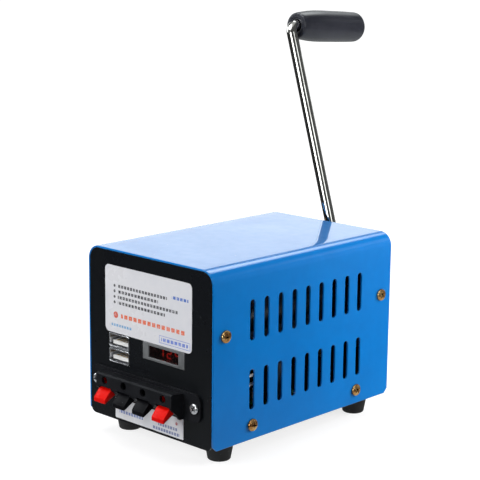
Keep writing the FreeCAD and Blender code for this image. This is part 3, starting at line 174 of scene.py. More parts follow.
def buildHandledSheen():
    # Cloudy patches where hands and cloths have touched: a roughness between two limits, and the patch mask
    fineCells, broadShare, fineShare, patchFrom, patchFull = 9.0, 0.75, 0.25, 0.38, 0.64
    group, take, give = startGroup("handledSheen", {"Patches": 30.0, "Low": 0.1, "High": 0.3}, ["Roughness", "Patch"])
    broad = noise(group, take["Point"], take["Patches"], 3.0, 0.6)
    fine = noise(group, take["Point"], times(group, take["Patches"], fineCells))
    both = calc(group, "ADD", times(group, broad, broadShare), times(group, fine, fineShare))
    patch = spread(group, both, patchFrom, patchFull)
    span = calc(group, "SUBTRACT", take["High"], take["Low"])
    return endGroup(group, give, Roughness=calc(group, "MULTIPLY_ADD", patch, span, take["Low"]), Patch=patch)


def buildDustFlecks():
    # Scattered small flecks, thicker on faces that look up
    fleckCore, fleckRim, amountShare = 0.10, 0.22, 0.35
    upFrom, upFull, leastShare = -0.2, 1.0, 0.45
    group, take, give = startGroup("dustFlecks", {"Cells": 500.0, "Amount": 0.3}, ["Mask"])
    dots = cells(group, take["Point"], take["Cells"])
    near = spread(group, dots["Distance"], fleckCore, fleckRim, 1.0, 0.0)
    chance = put(group, "SeparateColor", {"Color": dots["Color"]}).outputs[0]
    bar = calc(group, "SUBTRACT", 1.0, times(group, take["Amount"], amountShare))
    flecks = times(group, near, spread(group, chance, bar, 1.0))
    up = put(group, "SeparateXYZ", {0: put(group, "NewGeometry", {}).outputs["Normal"]}).outputs[2]
    lift = spread(group, up, upFrom, upFull, leastShare, 1.0)
    return endGroup(group, give, Mask=times(group, flecks, lift))


def buildEdgeWearAndShade():
    # Where a rounded copy of the surface normal leaves the true one, an edge runs; noise breaks it up. The mask
    # carries real edge wear and painted edge shade
    bendFrom, bendFull, breakFrom, breakFull = 0.01, 0.12, 0.42, 0.58
    group, take, give = startGroup("edgeWearAndShade", {"Reach": 0.0006, "Breaks": 400.0}, ["Mask"])
    soft = put(group, "Bevel", {"Radius": take["Reach"]}, samples=4).outputs[0]
    true = put(group, "NewGeometry", {}).outputs["Normal"]
    bend = calc(group, "SUBTRACT", 1.0, measure(group, "DOT_PRODUCT", soft, true))
    broken = spread(group, noise(group, take["Point"], take["Breaks"], 3.0), breakFrom, breakFull)
    return endGroup(group, give, Mask=times(group, spread(group, bend, bendFrom, bendFull), broken))


def buildDrawnMarks():
    # Noise squeezed across the drawing direction into long thin scratches
    toneFrom, toneFull = 0.35, 0.65
    group, take, give = startGroup("drawnMarks", {"Stretch": (3000.0, 3000.0, 60.0)}, ["Height", "Tone"])
    lines = noise(group, vectorCalc(group, "MULTIPLY", take["Point"], take["Stretch"]), 1.0, 4.0)
    return endGroup(group, give, Height=lines, Tone=spread(group, lines, toneFrom, toneFull))


def buildPrintedBar():
    # One printed bar on an upright label: a box in X and Z, cut into even dashes where Dashes is not 0
    dashShare = 0.72
    group, take, give = startGroup(
        "printedBar", {"Middle": (0.0, 0.0, 0.0), "HalfWidth": 0.01, "HalfHeight": 0.0007, "Dashes": 0.0}, ["Mask"])
    away = put(group, "SeparateXYZ", {0: vectorCalc(group, "SUBTRACT", take["Point"], take["Middle"])}).outputs
    inX = calc(group, "LESS_THAN", calc(group, "ABSOLUTE", away[0]), take["HalfWidth"])
    inZ = calc(group, "LESS_THAN", calc(group, "ABSOLUTE", away[2]), take["HalfHeight"])
    step = calc(group, "FRACT", times(group, away[0], take["Dashes"]))
    cut = calc(group, "LESS_THAN", step, dashShare)
    return endGroup(group, give, Mask=times(group, times(group, inX, inZ), cut))


orangePeel = buildOrangePeel()
handledSheen = buildHandledSheen()
dustFlecks = buildDustFlecks()
edgeWearAndShade = buildEdgeWearAndShade()
drawnMarks = buildDrawnMarks()
printedBar = buildPrintedBar()


# Finishes

finishes = {}


def startFinish(name, **constants):
    finish = finishes[name] = bpy.data.materials.new(name)
    finish.use_nodes = True
    tree = finish.node_tree
    shader = tree.nodes["Principled BSDF"]
    wire(tree, shader, {socket.replace("_", " "): value for socket, value in constants.items()})
    return tree, shader, put(tree, "TexCoord", {}).outputs["Object"]


def sheenOf(tree, point, look):
    return use(tree, handledSheen, point, Patches=look["patches"], Low=look["low"], High=look["high"])


def dusted(tree, point, base, look):
    mask = use(tree, dustFlecks, point, Cells=look["dustCells"], Amount=look["dustAmount"])["Mask"]
    return mixColor(tree, times(tree, mask, look["dustShare"]), base, look["dust"])


def surface(tree, shader, base, sheen, height, depth, strength=1.0):
    normal = put(tree, "Bump", {"Height": height, "Distance": depth, "Strength": strength}).outputs[0]
    wire(tree, shader, {"Base Color": base, "Roughness": sheen["Roughness"], "Normal": normal})


sprayed = {
    "coatRough": 0.03, "patches": 22.0, "edgeReach": 0.0005, "edgeBreaks": 900.0, "dustCells": 420.0,
    "dustAmount": 0.06, "dustShare": 0.35, "peelDepth": 0.000012,
}

paintLooks = {
    # the cover's edge colour, a darker blue, is painted shade along the sheet's edges; the panel's lighter edge colour
    # is wear
    "coverPaint": {"main": (0, 121, 202), "second": (0, 113, 192), "edge": (8, 66, 138), "edgeWearShadeShare": 0.3,
                   "dust": (190, 210, 230), "coat": 1.0, "specular": 0.1, "low": 0.3, "high": 0.4, "peelCells": 650.0},
    "panelPaint": {"main": (16, 18, 22), "second": (11, 13, 16), "edge": (60, 62, 68), "edgeWearShadeShare": 0.2,
                   "dust": (120, 120, 125), "coat": 0.2, "specular": 0.2, "low": 0.24, "high": 0.36,
                   "peelCells": 800.0},
}


def glossPaint(name, look):
    # Sprayed paint: two close tones, tinted edges, dust, and orange peel under a clear coat. The darker blue on the
    # cover's edges is painted shade; the lighter edge of the black panel is wear
    tree, shader, point = startFinish(
        name, Coat_Weight=look["coat"], Coat_Roughness=look["coatRough"], Specular_IOR_Level=look["specular"])
    sheen = sheenOf(tree, point, look)
    base = mixColor(tree, sheen["Patch"], look["main"], look["second"])
    # edge mask: painted shade on the blue cover, wear on the black panel
    edge = use(tree, edgeWearAndShade, point, Reach=look["edgeReach"], Breaks=look["edgeBreaks"])["Mask"]
    base = mixColor(tree, times(tree, edge, look["edgeWearShadeShare"]), base, look["edge"])
    base = dusted(tree, point, base, look)
    peel = use(tree, orangePeel, point, Cells=look["peelCells"])["Height"]
    surface(tree, shader, base, sheen, peel, look["peelDepth"])


plated = {
    "driftCells": 320.0, "driftFrom": 0.35, "driftFull": 0.65, "mottleCells": 900.0, "mottleFrom": 0.55,
    "mottleFull": 0.72, "mottleShare": 0.5, "patches": 260.0, "low": 0.12, "high": 0.3, "depth": 0.00001,
}

platingLooks = {
    # each plating's last colour is painted shade for the cross recess, the underside of the head and the shank
    "zincYellow": {"pale": (236, 196, 132), "deep": (186, 118, 56), "mottle": (120, 84, 40), "paintedShadeColor": (22, 14, 10)},
    "nickelSilver": {"pale": (225, 225, 228), "deep": (190, 190, 196), "mottle": (150, 150, 158),
                     "paintedShadeColor": (24, 24, 26)},
}


def plating(name, look):
    # Plated screws: two drifting tones, a mottle, and painted shade where the mesh attribute says: in the cross
    # recess, at the rim and underside of the head, and on the shank
    tree, shader, point = startFinish(name, Metallic=0.85)
    drift = spread(tree, noise(tree, point, look["driftCells"], 3.0, 0.8), look["driftFrom"], look["driftFull"])
    base = mixColor(tree, drift, look["pale"], look["deep"])
    grain = noise(tree, point, look["mottleCells"])
    mottle = spread(tree, grain, look["mottleFrom"], look["mottleFull"], 0.0, look["mottleShare"])
    base = mixColor(tree, mottle, base, look["mottle"])
    # painted shade: darker colour in the recess, under the head and on the shank
    paintedShade = put(tree, "Attribute", {}, attribute_name="paintedShade").outputs["Fac"]
    base = mixColor(tree, paintedShade, base, look["paintedShadeColor"])
    surface(tree, shader, base, sheenOf(tree, point, look), grain, look["depth"])


rolled = {"patches": 70.0, "stretch": (900.0, 60.0, 900.0), "depth": 0.000008, "lineShare": 0.5, "patchShare": 0.5}

metalLooks = {
    "steelRolled": {"light": (178, 180, 184), "dark": (120, 122, 128), "low": 0.26, "high": 0.42},
    "steelBright": {"light": (216, 216, 220), "dark": (176, 176, 182), "low": 0.12, "high": 0.26,
                    "stretch": (700.0, 700.0, 90.0), "depth": 0.000005},
    "steelBlack": {"light": (46, 46, 50), "dark": (24, 24, 27), "low": 0.3, "high": 0.45},
    "brassPlain": {"light": (212, 178, 108), "dark": (168, 128, 66), "low": 0.24, "high": 0.4,
                   "stretch": (500.0, 500.0, 500.0)},
    "aluminiumDrawn": {"light": (205, 207, 210), "dark": (160, 162, 168), "low": 0.28, "high": 0.44,
                       "stretch": (900.0, 900.0, 50.0)},
    "copperPlain": {"light": (196, 116, 72), "dark": (146, 74, 40), "low": 0.25, "high": 0.4},
}


def plainMetal(name, look):
    # Machined or rolled metal: drawn lines in tone and height, duller where handled
    tree, shader, point = startFinish(name, Metallic=1.0)
    drawn = use(tree, drawnMarks, point, Stretch=look["stretch"])
    sheen = sheenOf(tree, point, look)
    patches = times(tree, sheen["Patch"], look["patchShare"])
    blend = calc(tree, "MULTIPLY_ADD", drawn["Tone"], look["lineShare"], patches)
    base = mixColor(tree, blend, look["light"], look["dark"])
    surface(tree, shader, base, sheen, drawn["Height"], look["depth"])


chromeLook = {
    "light": (232, 230, 226), "dark": (150, 140, 130), "darkShare": 0.35, "low": 0.03, "high": 0.13, "patches": 160.0,
    # brown specks are a painted reflection: their colour, noise cells, size and strength
    "lean": 16.7, "stretch": (1800.0, 1800.0, 30.0), "depth": 0.00002, "paintedReflection": (70, 52, 40), "reflectionCells": 420.0,
    "reflectionCore": 0.05, "reflectionRim": 0.11, "reflectionShare": 0.8,
}


def platedRod(name, look):
    # Bright plating: near-mirror with lengthwise polishing lines, cloudy duller patches, and brown specks that are a
    # painted reflection
    tree, shader, point = startFinish(name, Metallic=1.0)
    turn = (0.0, math.radians(look["lean"]), 0.0)
    along = put(tree, "Mapping", {"Vector": point, "Rotation": turn}).outputs[0]
    lines = use(tree, drawnMarks, along, Stretch=look["stretch"])
    sheen = sheenOf(tree, along, look)
    base = mixColor(tree, times(tree, sheen["Patch"], look["darkShare"]), look["light"], look["dark"])
    # painted reflection: small brown specks over the chrome
    away = cells(tree, along, look["reflectionCells"])["Distance"]
    reflectionSpecks = spread(tree, away, look["reflectionCore"], look["reflectionRim"], look["reflectionShare"], 0.0)
    base = mixColor(tree, reflectionSpecks, base, look["paintedReflection"])
    surface(tree, shader, base, sheen, lines["Height"], look["depth"])


moulded = {
    "patches": 60.0, "grainCells": 2600.0, "grain": 0.00001, "shine": 0.5, "dust": (170, 170, 172), "dustCells": 700.0,
    "dustAmount": 0.1, "dustShare": 0.4,
}

plasticLooks = {
    "blackPlastic": {"main": (20, 21, 24), "second": (28, 29, 32), "low": 0.34, "high": 0.48, "grain": 0.000012,
                     "shine": 0.06},
    "leverBlack": {"main": (12, 12, 14), "second": (20, 20, 23), "low": 0.3, "high": 0.42, "shine": 0.03},
    "leverRed": {"main": (204, 6, 0), "second": (216, 14, 4), "low": 0.3, "high": 0.42, "shine": 0.12,
                 "dustAmount": 0.03},
    "whitePlastic": {"main": (232, 232, 230), "second": (214, 214, 212), "low": 0.3, "high": 0.45, "dustAmount": 0.05},
    "bezelPlastic": {"main": (84, 86, 88), "second": (104, 106, 108), "low": 0.3, "high": 0.5, "grain": 0.00002},
    "footRubber": {"main": (20, 20, 21), "second": (36, 36, 37), "low": 0.55, "high": 0.75, "grain": 0.00003,
                   "dustAmount": 0.5},
    "gripBlack": {"main": (34, 35, 42), "second": (42, 43, 51), "low": 0.28, "high": 0.38, "dustAmount": 0.15},
    "leadRed": {"main": (170, 24, 20), "second": (190, 36, 30), "low": 0.3, "high": 0.45},
    "capacitorSleeve": {"main": (20, 26, 52), "second": (32, 40, 74), "low": 0.14, "high": 0.3, "grain": 0.000006},
    "ferriteGrey": {"main": (42, 42, 45), "second": (58, 58, 62), "low": 0.5, "high": 0.7, "grain": 0.00003},
}


def mouldedPlastic(name, look):
    # Moulded plastic: faint two-tone flow, spark-eroded grain, flecks of dust
    tree, shader, point = startFinish(name, Specular_IOR_Level=look["shine"])
    sheen = sheenOf(tree, point, look)
    base = dusted(tree, point, mixColor(tree, sheen["Patch"], look["main"], look["second"]), look)
    surface(tree, shader, base, sheen, noise(tree, point, look["grainCells"], 3.0), look["grain"])


darkInk = (38, 38, 44)

upperPrint = {
    "paper": (221, 221, 225), "aged": (212, 213, 219),
    # colour, middle x, middle z, half width and half height in mm, and dashes per metre of each printed bar
    "bars": [
        ((60, 105, 190), 22.0, 80.2, 5.6, 0.75, 420),
        (darkInk, -4.6, 79.0, 17.6, 0.75, 470),
        (darkInk, -7.6, 76.2, 14.4, 0.75, 430),
        (darkInk, -0.9, 73.4, 21.2, 0.75, 455),
        (darkInk, -5.2, 70.6, 16.8, 0.75, 440),
        ((226, 96, 40), 2.6, 64.2, 22.4, 1.05, 300),
        ((96, 160, 208), -19.4, 59.0, 7.4, 0.65, 520),
        ((92, 120, 205), 18.2, 58.2, 9.2, 0.85, 380),
    ],
    # colour, middle x, middle z and radius of each printed dot, in mm
    "dots": [
        (darkInk, -24.4, 79.0, 0.75), (darkInk, -24.4, 76.2, 0.75),
        (darkInk, -24.4, 73.4, 0.75), (darkInk, -24.4, 70.6, 0.75), ((206, 70, 30), -23.6, 64.2, 1.7),
    ],
    # colour, middle x, middle z, half width, half height and line width of each ruled frame, in mm
    "frames": [((92, 120, 205), 18.2, 58.2, 10.6, 1.9, 0.25)],
}

lowerPrint = {
    "paper": (228, 229, 232), "aged": (218, 220, 226),
    "bars": [
        ((110, 130, 190), -12.8, 15.2, 8.6, 0.8, 520),
        ((96, 112, 160), 13.4, 15.4, 6.6, 0.75, 560),
        ((96, 112, 160), 12.4, 12.9, 9.4, 0.75, 540),
    ],
    "dots": [((170, 50, 60), 19.6, 18.4, 0.8), ((110, 130, 190), -20.4, 18.6, 0.7)],
    "frames": [],
}

filmLook = {
    "coat": 0.35, "coatRough": 0.08, "patches": 34.0, "low": 0.26, "high": 0.4,
    # patchy ink: noise cells, and the share of ink where it is weak and where it is full
    "inkCells": 1500.0, "inkFrom": 0.3, "inkFull": 0.5, "inkWeak": 0.45, "inkStrong": 0.92,
    "dust": (120, 120, 124), "dustCells": 600.0, "dustAmount": 0.1, "dustShare": 0.3,
    "rippleCells": 55.0, "rippleDepth": 0.0003, "rippleStrength": 0.5,
}


def printedFilm(name, marks, look):
    # Film label: plain bars, dots and ruled frames printed on pale stock that is cloudy with age
    tree, shader, point = startFinish(name, Coat_Weight=look["coat"], Coat_Roughness=look["coatRough"])
    sheen = sheenOf(tree, point, look)
    base = mixColor(tree, sheen["Patch"], marks["paper"], marks["aged"])
    ink = spread(tree, noise(tree, point, look["inkCells"]), look["inkFrom"], look["inkFull"], look["inkWeak"],
                 look["inkStrong"])

    def box(x, z, wide, tall, dashes=0.0):
        return use(tree, printedBar, point, Middle=(x * mm, 0.0, z * mm), HalfWidth=wide * mm, HalfHeight=tall * mm,
                   Dashes=float(dashes))["Mask"]

    def printed(mask, color):
        return mixColor(tree, times(tree, mask, ink), base, color)

    for color, *bar in marks["bars"]:
        base = printed(box(*bar), color)
    for color, x, z, wide, tall, line in marks["frames"]:
        ruled = calc(tree, "SUBTRACT", box(x, z, wide, tall), box(x, z, wide - line, tall - line))
        base = printed(ruled, color)
    flat = vectorCalc(tree, "MULTIPLY", point, (1.0, 0.0, 1.0))
    for color, x, z, radius in marks["dots"]:
        away = measure(tree, "DISTANCE", flat, (x * mm, 0.0, z * mm))
        base = printed(calc(tree, "LESS_THAN", away, radius * mm), color)
    base = dusted(tree, point, base, look)
    ripple = noise(tree, point, look["rippleCells"], 1.0)
    surface(tree, shader, base, sheen, ripple, look["rippleDepth"], look["rippleStrength"])


boardLook = {
    "mask": (16, 84, 48), "trace": (34, 124, 70), "traceShare": 0.5, "pad": (196, 196, 186), "padCells": 240.0,
    "padCore": 0.10, "padRim": 0.14, "padShare": 0.85, "patches": 80.0, "low": 0.18, "high": 0.32, "depth": 0.00002,
    "traces": {"Color1": (1, 1, 1, 1), "Color2": (0.2, 0.2, 0.2, 1), "Mortar": (0, 0, 0, 1), "Scale": 130.0,
               "Mortar Size": 0.03, "Brick Width": 0.9, "Row Height": 0.3},
}


def circuitBoard(name, look):
    # Solder mask over copper: long bricks stand for the traces, and pale pads sit where Voronoi cells centre
    tree, shader, point = startFinish(name)
    traces = put(tree, "TexBrick", {"Vector": point, **look["traces"]}).outputs["Color"]
    base = mixColor(tree, spread(tree, traces, 0.1, 0.9, 0.0, look["traceShare"]), look["mask"], look["trace"])
    away = cells(tree, point, look["padCells"])["Distance"]
    pads = spread(tree, away, look["padCore"], look["padRim"], look["padShare"], 0.0)
    base = mixColor(tree, pads, base, look["pad"])
    sheen = sheenOf(tree, point, look)
    surface(tree, shader, base, sheen, traces, look["depth"])


wireLook = {
    # the groove colour is painted shade between the turns; the crest is the wire's own colour
    "groove": (96, 40, 18), "crest": (206, 118, 66), "patches": 120.0, "low": 0.2, "high": 0.34, "depth": 0.0001,
}


def woundCopper(name, look, stretch):
    # Enamelled wire: close even turns seen as rounded ridges, with painted shade darkening the grooves between them
    tree, shader, point = startFinish(name, Metallic=0.85)
    ridge = calc(tree, "ABSOLUTE", calc(tree, "SINE", measure(tree, "DOT_PRODUCT", point, stretch)))
    base = mixColor(tree, ridge, look["groove"], look["crest"])
    sheen = sheenOf(tree, point, look)
    surface(tree, shader, base, sheen, ridge, look["depth"])


meterLook = {
    # linear colours
    "glass": (0.10, 0.035, 0.035, 1.0), "haze": (0.14, 0.05, 0.05, 1.0), "patches": 120.0, "low": 0.02, "high": 0.12,
    "lit": (1.0, 0.10, 0.05, 1.0), "dim": (0.75, 0.04, 0.03, 1.0), "glow": 1.6, "glowCells": 900.0,
    "dimFrom": 0.35, "dimFull": 0.65,
}


def tintedWindow(name, look):
    tree, shader, point = startFinish(name, Transmission_Weight=1.0, IOR=1.49)
    sheen = sheenOf(tree, point, look)
    base = mixColor(tree, sheen["Patch"], look["glass"], look["haze"])
    wire(tree, shader, {"Base Color": base, "Roughness": sheen["Roughness"]})


def litBars(name, look):
    tree, shader, point = startFinish(name, Roughness=0.4, Emission_Strength=look["glow"])
    dim = spread(tree, noise(tree, point, look["glowCells"], 1.0), look["dimFrom"], look["dimFull"])
    color = mixColor(tree, dim, look["lit"], look["dim"])
    wire(tree, shader, {"Emission Color": color, "Base Color": color})


for make, common, looks in ((glossPaint, sprayed, paintLooks), (plating, plated, platingLooks),
                            (plainMetal, rolled, metalLooks), (mouldedPlastic, moulded, plasticLooks)):
    for finishName, look in looks.items():
        make(finishName, {**common, **look})
platedRod("armChrome", chromeLook)
printedFilm("upperFilm", upperPrint, filmLook)
printedFilm("lowerFilm", lowerPrint, filmLook)
circuitBoard("boardGreen", boardLook)
woundCopper("coilCopper", wireLook, (9000.0, 3000.0, 0.0))
woundCopper("rotorCopper", wireLook, (0.0, 0.0, 11000.0))
tintedWindow("meterGlass", meterLook)
litBars("meterRed", meterLook)
print("finishes made:", len(bpy.data.materials))


# Mesh helpers

def rawMesh(name, points, faces):
    # points are places in mm; faces are lists of point numbers
    mesh = bpy.data.meshes.new(name)
    mesh.from_pydata((np.asarray(points) * mm).tolist(), [], faces)
    return mesh


def openShape(mesh, reach):
    # A mesh opened for editing, with points closer than reach, in m, joined
    shape = bmesh.new()
    shape.from_mesh(mesh)
    bmesh.ops.remove_doubles(shape, verts=shape.verts, dist=reach)
    return shape


def closeShape(shape, mesh):
    shape.to_mesh(mesh)
    shape.free()


def meshPiece(name, points, faces, finish, body, replaced, slotName):
    mesh = rawMesh(name, points, faces)
    shape = openShape(mesh, 2e-7)
    bmesh.ops.dissolve_degenerate(shape, edges=shape.edges, dist=1e-8)
    bmesh.ops.recalc_face_normals(shape, faces=shape.faces)
    closeShape(shape, mesh)
    dress(name, mesh, finish, body, replaced, smoothAngle=50.0)


def dress(name, mesh, finish, body, replaced, smoothAngle):
    mesh.materials.clear()
    mesh.materials.append(finishes[finish])
    mesh.shade_smooth()
    mesh.set_sharp_from_angle(angle=math.radians(smoothAngle))
    piece = addObject(name, mesh)
    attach(piece, body)
    if replaced:
        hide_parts(*replaced)
    return piece


def gridFaces(rows, columns, start=0):
    # Quads of a closed tube whose points are numbered ring by ring
    r, c = np.meshgrid(np.arange(rows - 1), np.arange(columns), indexing="ij")
    near, far = r * columns, (r + 1) * columns
    after = (c + 1) % columns
    return (np.stack([near + c, near + after, far + after, far + c], -1).reshape(-1, 4) + start).tolist()


def addBevel(piece, width, segments, limit):
    bevel = piece.modifiers.new("edges", "BEVEL")
    bevel.width = width * mm
    bevel.segments = segments
    bevel.limit_method = "ANGLE"
    bevel.angle_limit = math.radians(limit)
    bevel.harden_normals = True


def bevelledCopy(name, node, width, finish, segments=2):
    # A merged copy of a solid whose edges are then broken by a small bevel
    mesh = nodes[node].data.copy()
    mesh.name = name
    shape = openShape(mesh, 1e-6)
    bmesh.ops.dissolve_limit(shape, angle_limit=math.radians(0.6), verts=shape.verts, edges=shape.edges)
    closeShape(shape, mesh)
    for layer in [layer for layer in mesh.attributes if layer.name == "custom_normal"]:
        mesh.attributes.remove(layer)
    piece = dress(name, mesh, finish, "case", (node,), smoothAngle=40.0)
    addBevel(piece, width, segments, limit=35.0)


# Cover: one sheet bent over the top, punched on both sides

coverShape = {
    "halfWidth": 44.0, "front": -67.5, "back": 64.5, "bottom": 10.0, "top": 97.0, "bend": 7.2, "sheet": 1.0,
    "corner": 2.5, "slotFirst": -41.1, "slotPitch": 10.0, "slots": 9, "slotWidth": 3.2,
    "slotRows": ((25.2, 45.2), (59.5, 79.5)), "margin": 3.0, "roll": 0.5, "edge": 0.34,
    # how the sheet's grid is spaced
    "across": 8, "along": 8, "bendSteps": 14, "topSteps": 14, "endBand": 1.2, "endLine": 58.0, "besideSlots": 2.5,
    "endColumns": 4, "lowRow": 1.0, "highRow": 7.5,
}


def coverSkin(spec):
    # The sheet is a grid of (distance round the section, distance along the box). Each slot's cell block is taken
    # out and filled by rings from the block's border to the slot's outline, a straight-sided loop with round ends
    height = spec["top"] - spec["bend"] - spec["bottom"]
    arc = math.pi / 2 * spec["bend"]
    flat = 2 * (spec["halfWidth"] - spec["bend"])
    whole = 2 * (height + arc) + flat
    pitch, across, along, margin = spec["slotPitch"], spec["across"], spec["along"], spec["margin"]
    front, back, endLine, beside = spec["front"], spec["back"], spec["endLine"], spec["besideSlots"]
    firstTile = spec["slotFirst"] - pitch / 2
    lastTile = firstTile + pitch * spec["slots"]
    y = np.concatenate([
        [front, front + spec["endBand"], front + spec["corner"] + 1],
        np.linspace(-endLine, firstTile - beside, spec["endColumns"]),
        np.linspace(firstTile, lastTile, spec["slots"] * across + 1),
        np.linspace(lastTile + beside, endLine, spec["endColumns"]),
        [back - spec["corner"] - 1, back - spec["endBand"], back]])
    tiles = [(low - margin - spec["bottom"], high + margin - spec["bottom"]) for low, high in spec["slotRows"]]
    side = np.concatenate([
        [0.0, spec["lowRow"], spec["corner"], spec["highRow"]], np.linspace(*tiles[0], along + 1),
        [(tiles[0][1] + tiles[1][0]) / 2], np.linspace(*tiles[1], along + 1), [(tiles[1][1] + height) / 2]])
    bendLine = np.linspace(height, height + arc, spec["bendSteps"] + 1)
    topLine = np.linspace(height + arc, height + arc + flat, spec["topSteps"] + 1)[1:-1]
    s = np.concatenate([side, bendLine, topLine, whole - bendLine[::-1], whole - side[::-1]])

    def place(s, y):
        # Up the left side, round a quarter circle, over the top, round the other and down the right side
        mirrored = s > whole / 2
        t = np.where(mirrored, whole - s, s)
        angle = np.clip((t - height) / spec["bend"], 0.0, math.pi / 2)
        x = -spec["halfWidth"] + spec["bend"] * (1 - np.cos(angle)) + np.clip(t - height - arc, 0.0, None)
        z = spec["bottom"] + np.clip(t, 0.0, height) + spec["bend"] * np.sin(angle)
        cut = np.clip(spec["corner"] - t, 0.0, None)      # the bottom corners are cut off at 45 degrees
        return np.stack([np.where(mirrored, -x, x), np.clip(y, front + cut, back - cut), z], -1)

    sGrid, yGrid = np.meshgrid(s, y, indexing="ij")
    points = [place(sGrid, yGrid).reshape(-1, 3)]
    columns = len(y)
    keep = np.ones((len(s) - 1, columns - 1), bool)
    faces = []
    total = len(points[0])
    firstColumn = int(np.argmin(abs(y - firstTile)))
    radius = spec["slotWidth"] / 2
    upper = math.pi * np.arange(across) / across
    lower = math.pi + upper
    for (low, high), (tileLow, tileHigh) in zip(spec["slotRows"], tiles):
        half = (high - low) / 2 - radius
        rise = np.linspace(-half, half, along + 1)[:-1]
        for start in (tileLow, whole - tileHigh):
            row = int(np.argmin(abs(s - start)))
            middle = start + margin + (high - low) / 2
            for slot in range(spec["slots"]):
                column = firstColumn + slot * across
                keep[row:row + along, column:column + across] = False
                border = np.concatenate([
                    row * columns + np.arange(column, column + across),
                    np.arange(row, row + along) * columns + column + across,
                    (row + along) * columns + np.arange(column + across, column, -1),
                    np.arange(row + along, row, -1) * columns + column])
                for grow in (spec["roll"], 0.0):
                    r = radius + grow
                    straight = np.full(along, r)
                    yRing = np.concatenate([r * np.cos(lower), straight, r * np.cos(upper), -straight])
                    sRing = np.concatenate([-half + r * np.sin(lower), rise, half + r * np.sin(upper), -rise])
                    points.append(place(middle + sRing, spec["slotFirst"] + slot * pitch + yRing))
                    ring = total + np.arange(len(border))
                    total += len(border)
                    faces += np.stack([border, np.roll(border, -1), np.roll(ring, -1), ring], -1).tolist()
                    border = ring
    r, c = np.nonzero(keep)
    corner = r * columns + c
    faces += np.stack([corner, corner + 1, corner + columns + 1, corner + columns], -1).tolist()
    used, renumbered = np.unique(faces, return_inverse=True)
    return np.concatenate(points)[used], renumbered.reshape(-1, 4).tolist()


def makeCover(spec):
    mesh = rawMesh("coverSheet", *coverSkin(spec))
    shape = openShape(mesh, 1e-6)
    bmesh.ops.recalc_face_normals(shape, faces=shape.faces)
    if max(shape.faces, key=lambda face: face.calc_center_median().z).normal.z < 0:
        bmesh.ops.reverse_faces(shape, faces=shape.faces)
    closeShape(shape, mesh)
    cover = dress("coverSheet", mesh, "coverPaint", "case", ("cover_shell",), smoothAngle=50.0)
    wall = cover.modifiers.new("wall", "SOLIDIFY")
    wall.thickness = spec["sheet"] * mm
    wall.offset = -1.0
    addBevel(cover, spec["edge"], 3, limit=50.0)
    return cover


cover = makeCover(coverShape)
print("cover made:", len(cover.data.polygons), "faces")


# Screws: pan heads with a cross recess

screwShape = {
    "headRadius": 3.1, "headHeight": 1.8, "rim": 0.55, "crownPower": 2.6, "underCut": 0.12, "shankRadius": 1.5,
    "tip": 0.4, "around": 72, "innerShare": 0.62, "innerRings": 17, "outerRings": 8,
    "crossLength": 1.75, "crossWidth": 0.42, "crossDepth": 1.15, "crossTaper": 0.55, "crossWall": 0.16,
    # how much painted shade the rim and underside of the head and the shank get
    "crossFade": 0.25, "rimShade": 0.75, "shankShade": 0.3,
    # each screw stops at its own angle, in radians
    "firstTurn": 0.35, "nextTurn": 0.7,
}


def smoothStep(value):
    t = np.clip(value, 0.0, 1.0)
    return t * t * (3 - 2 * t)


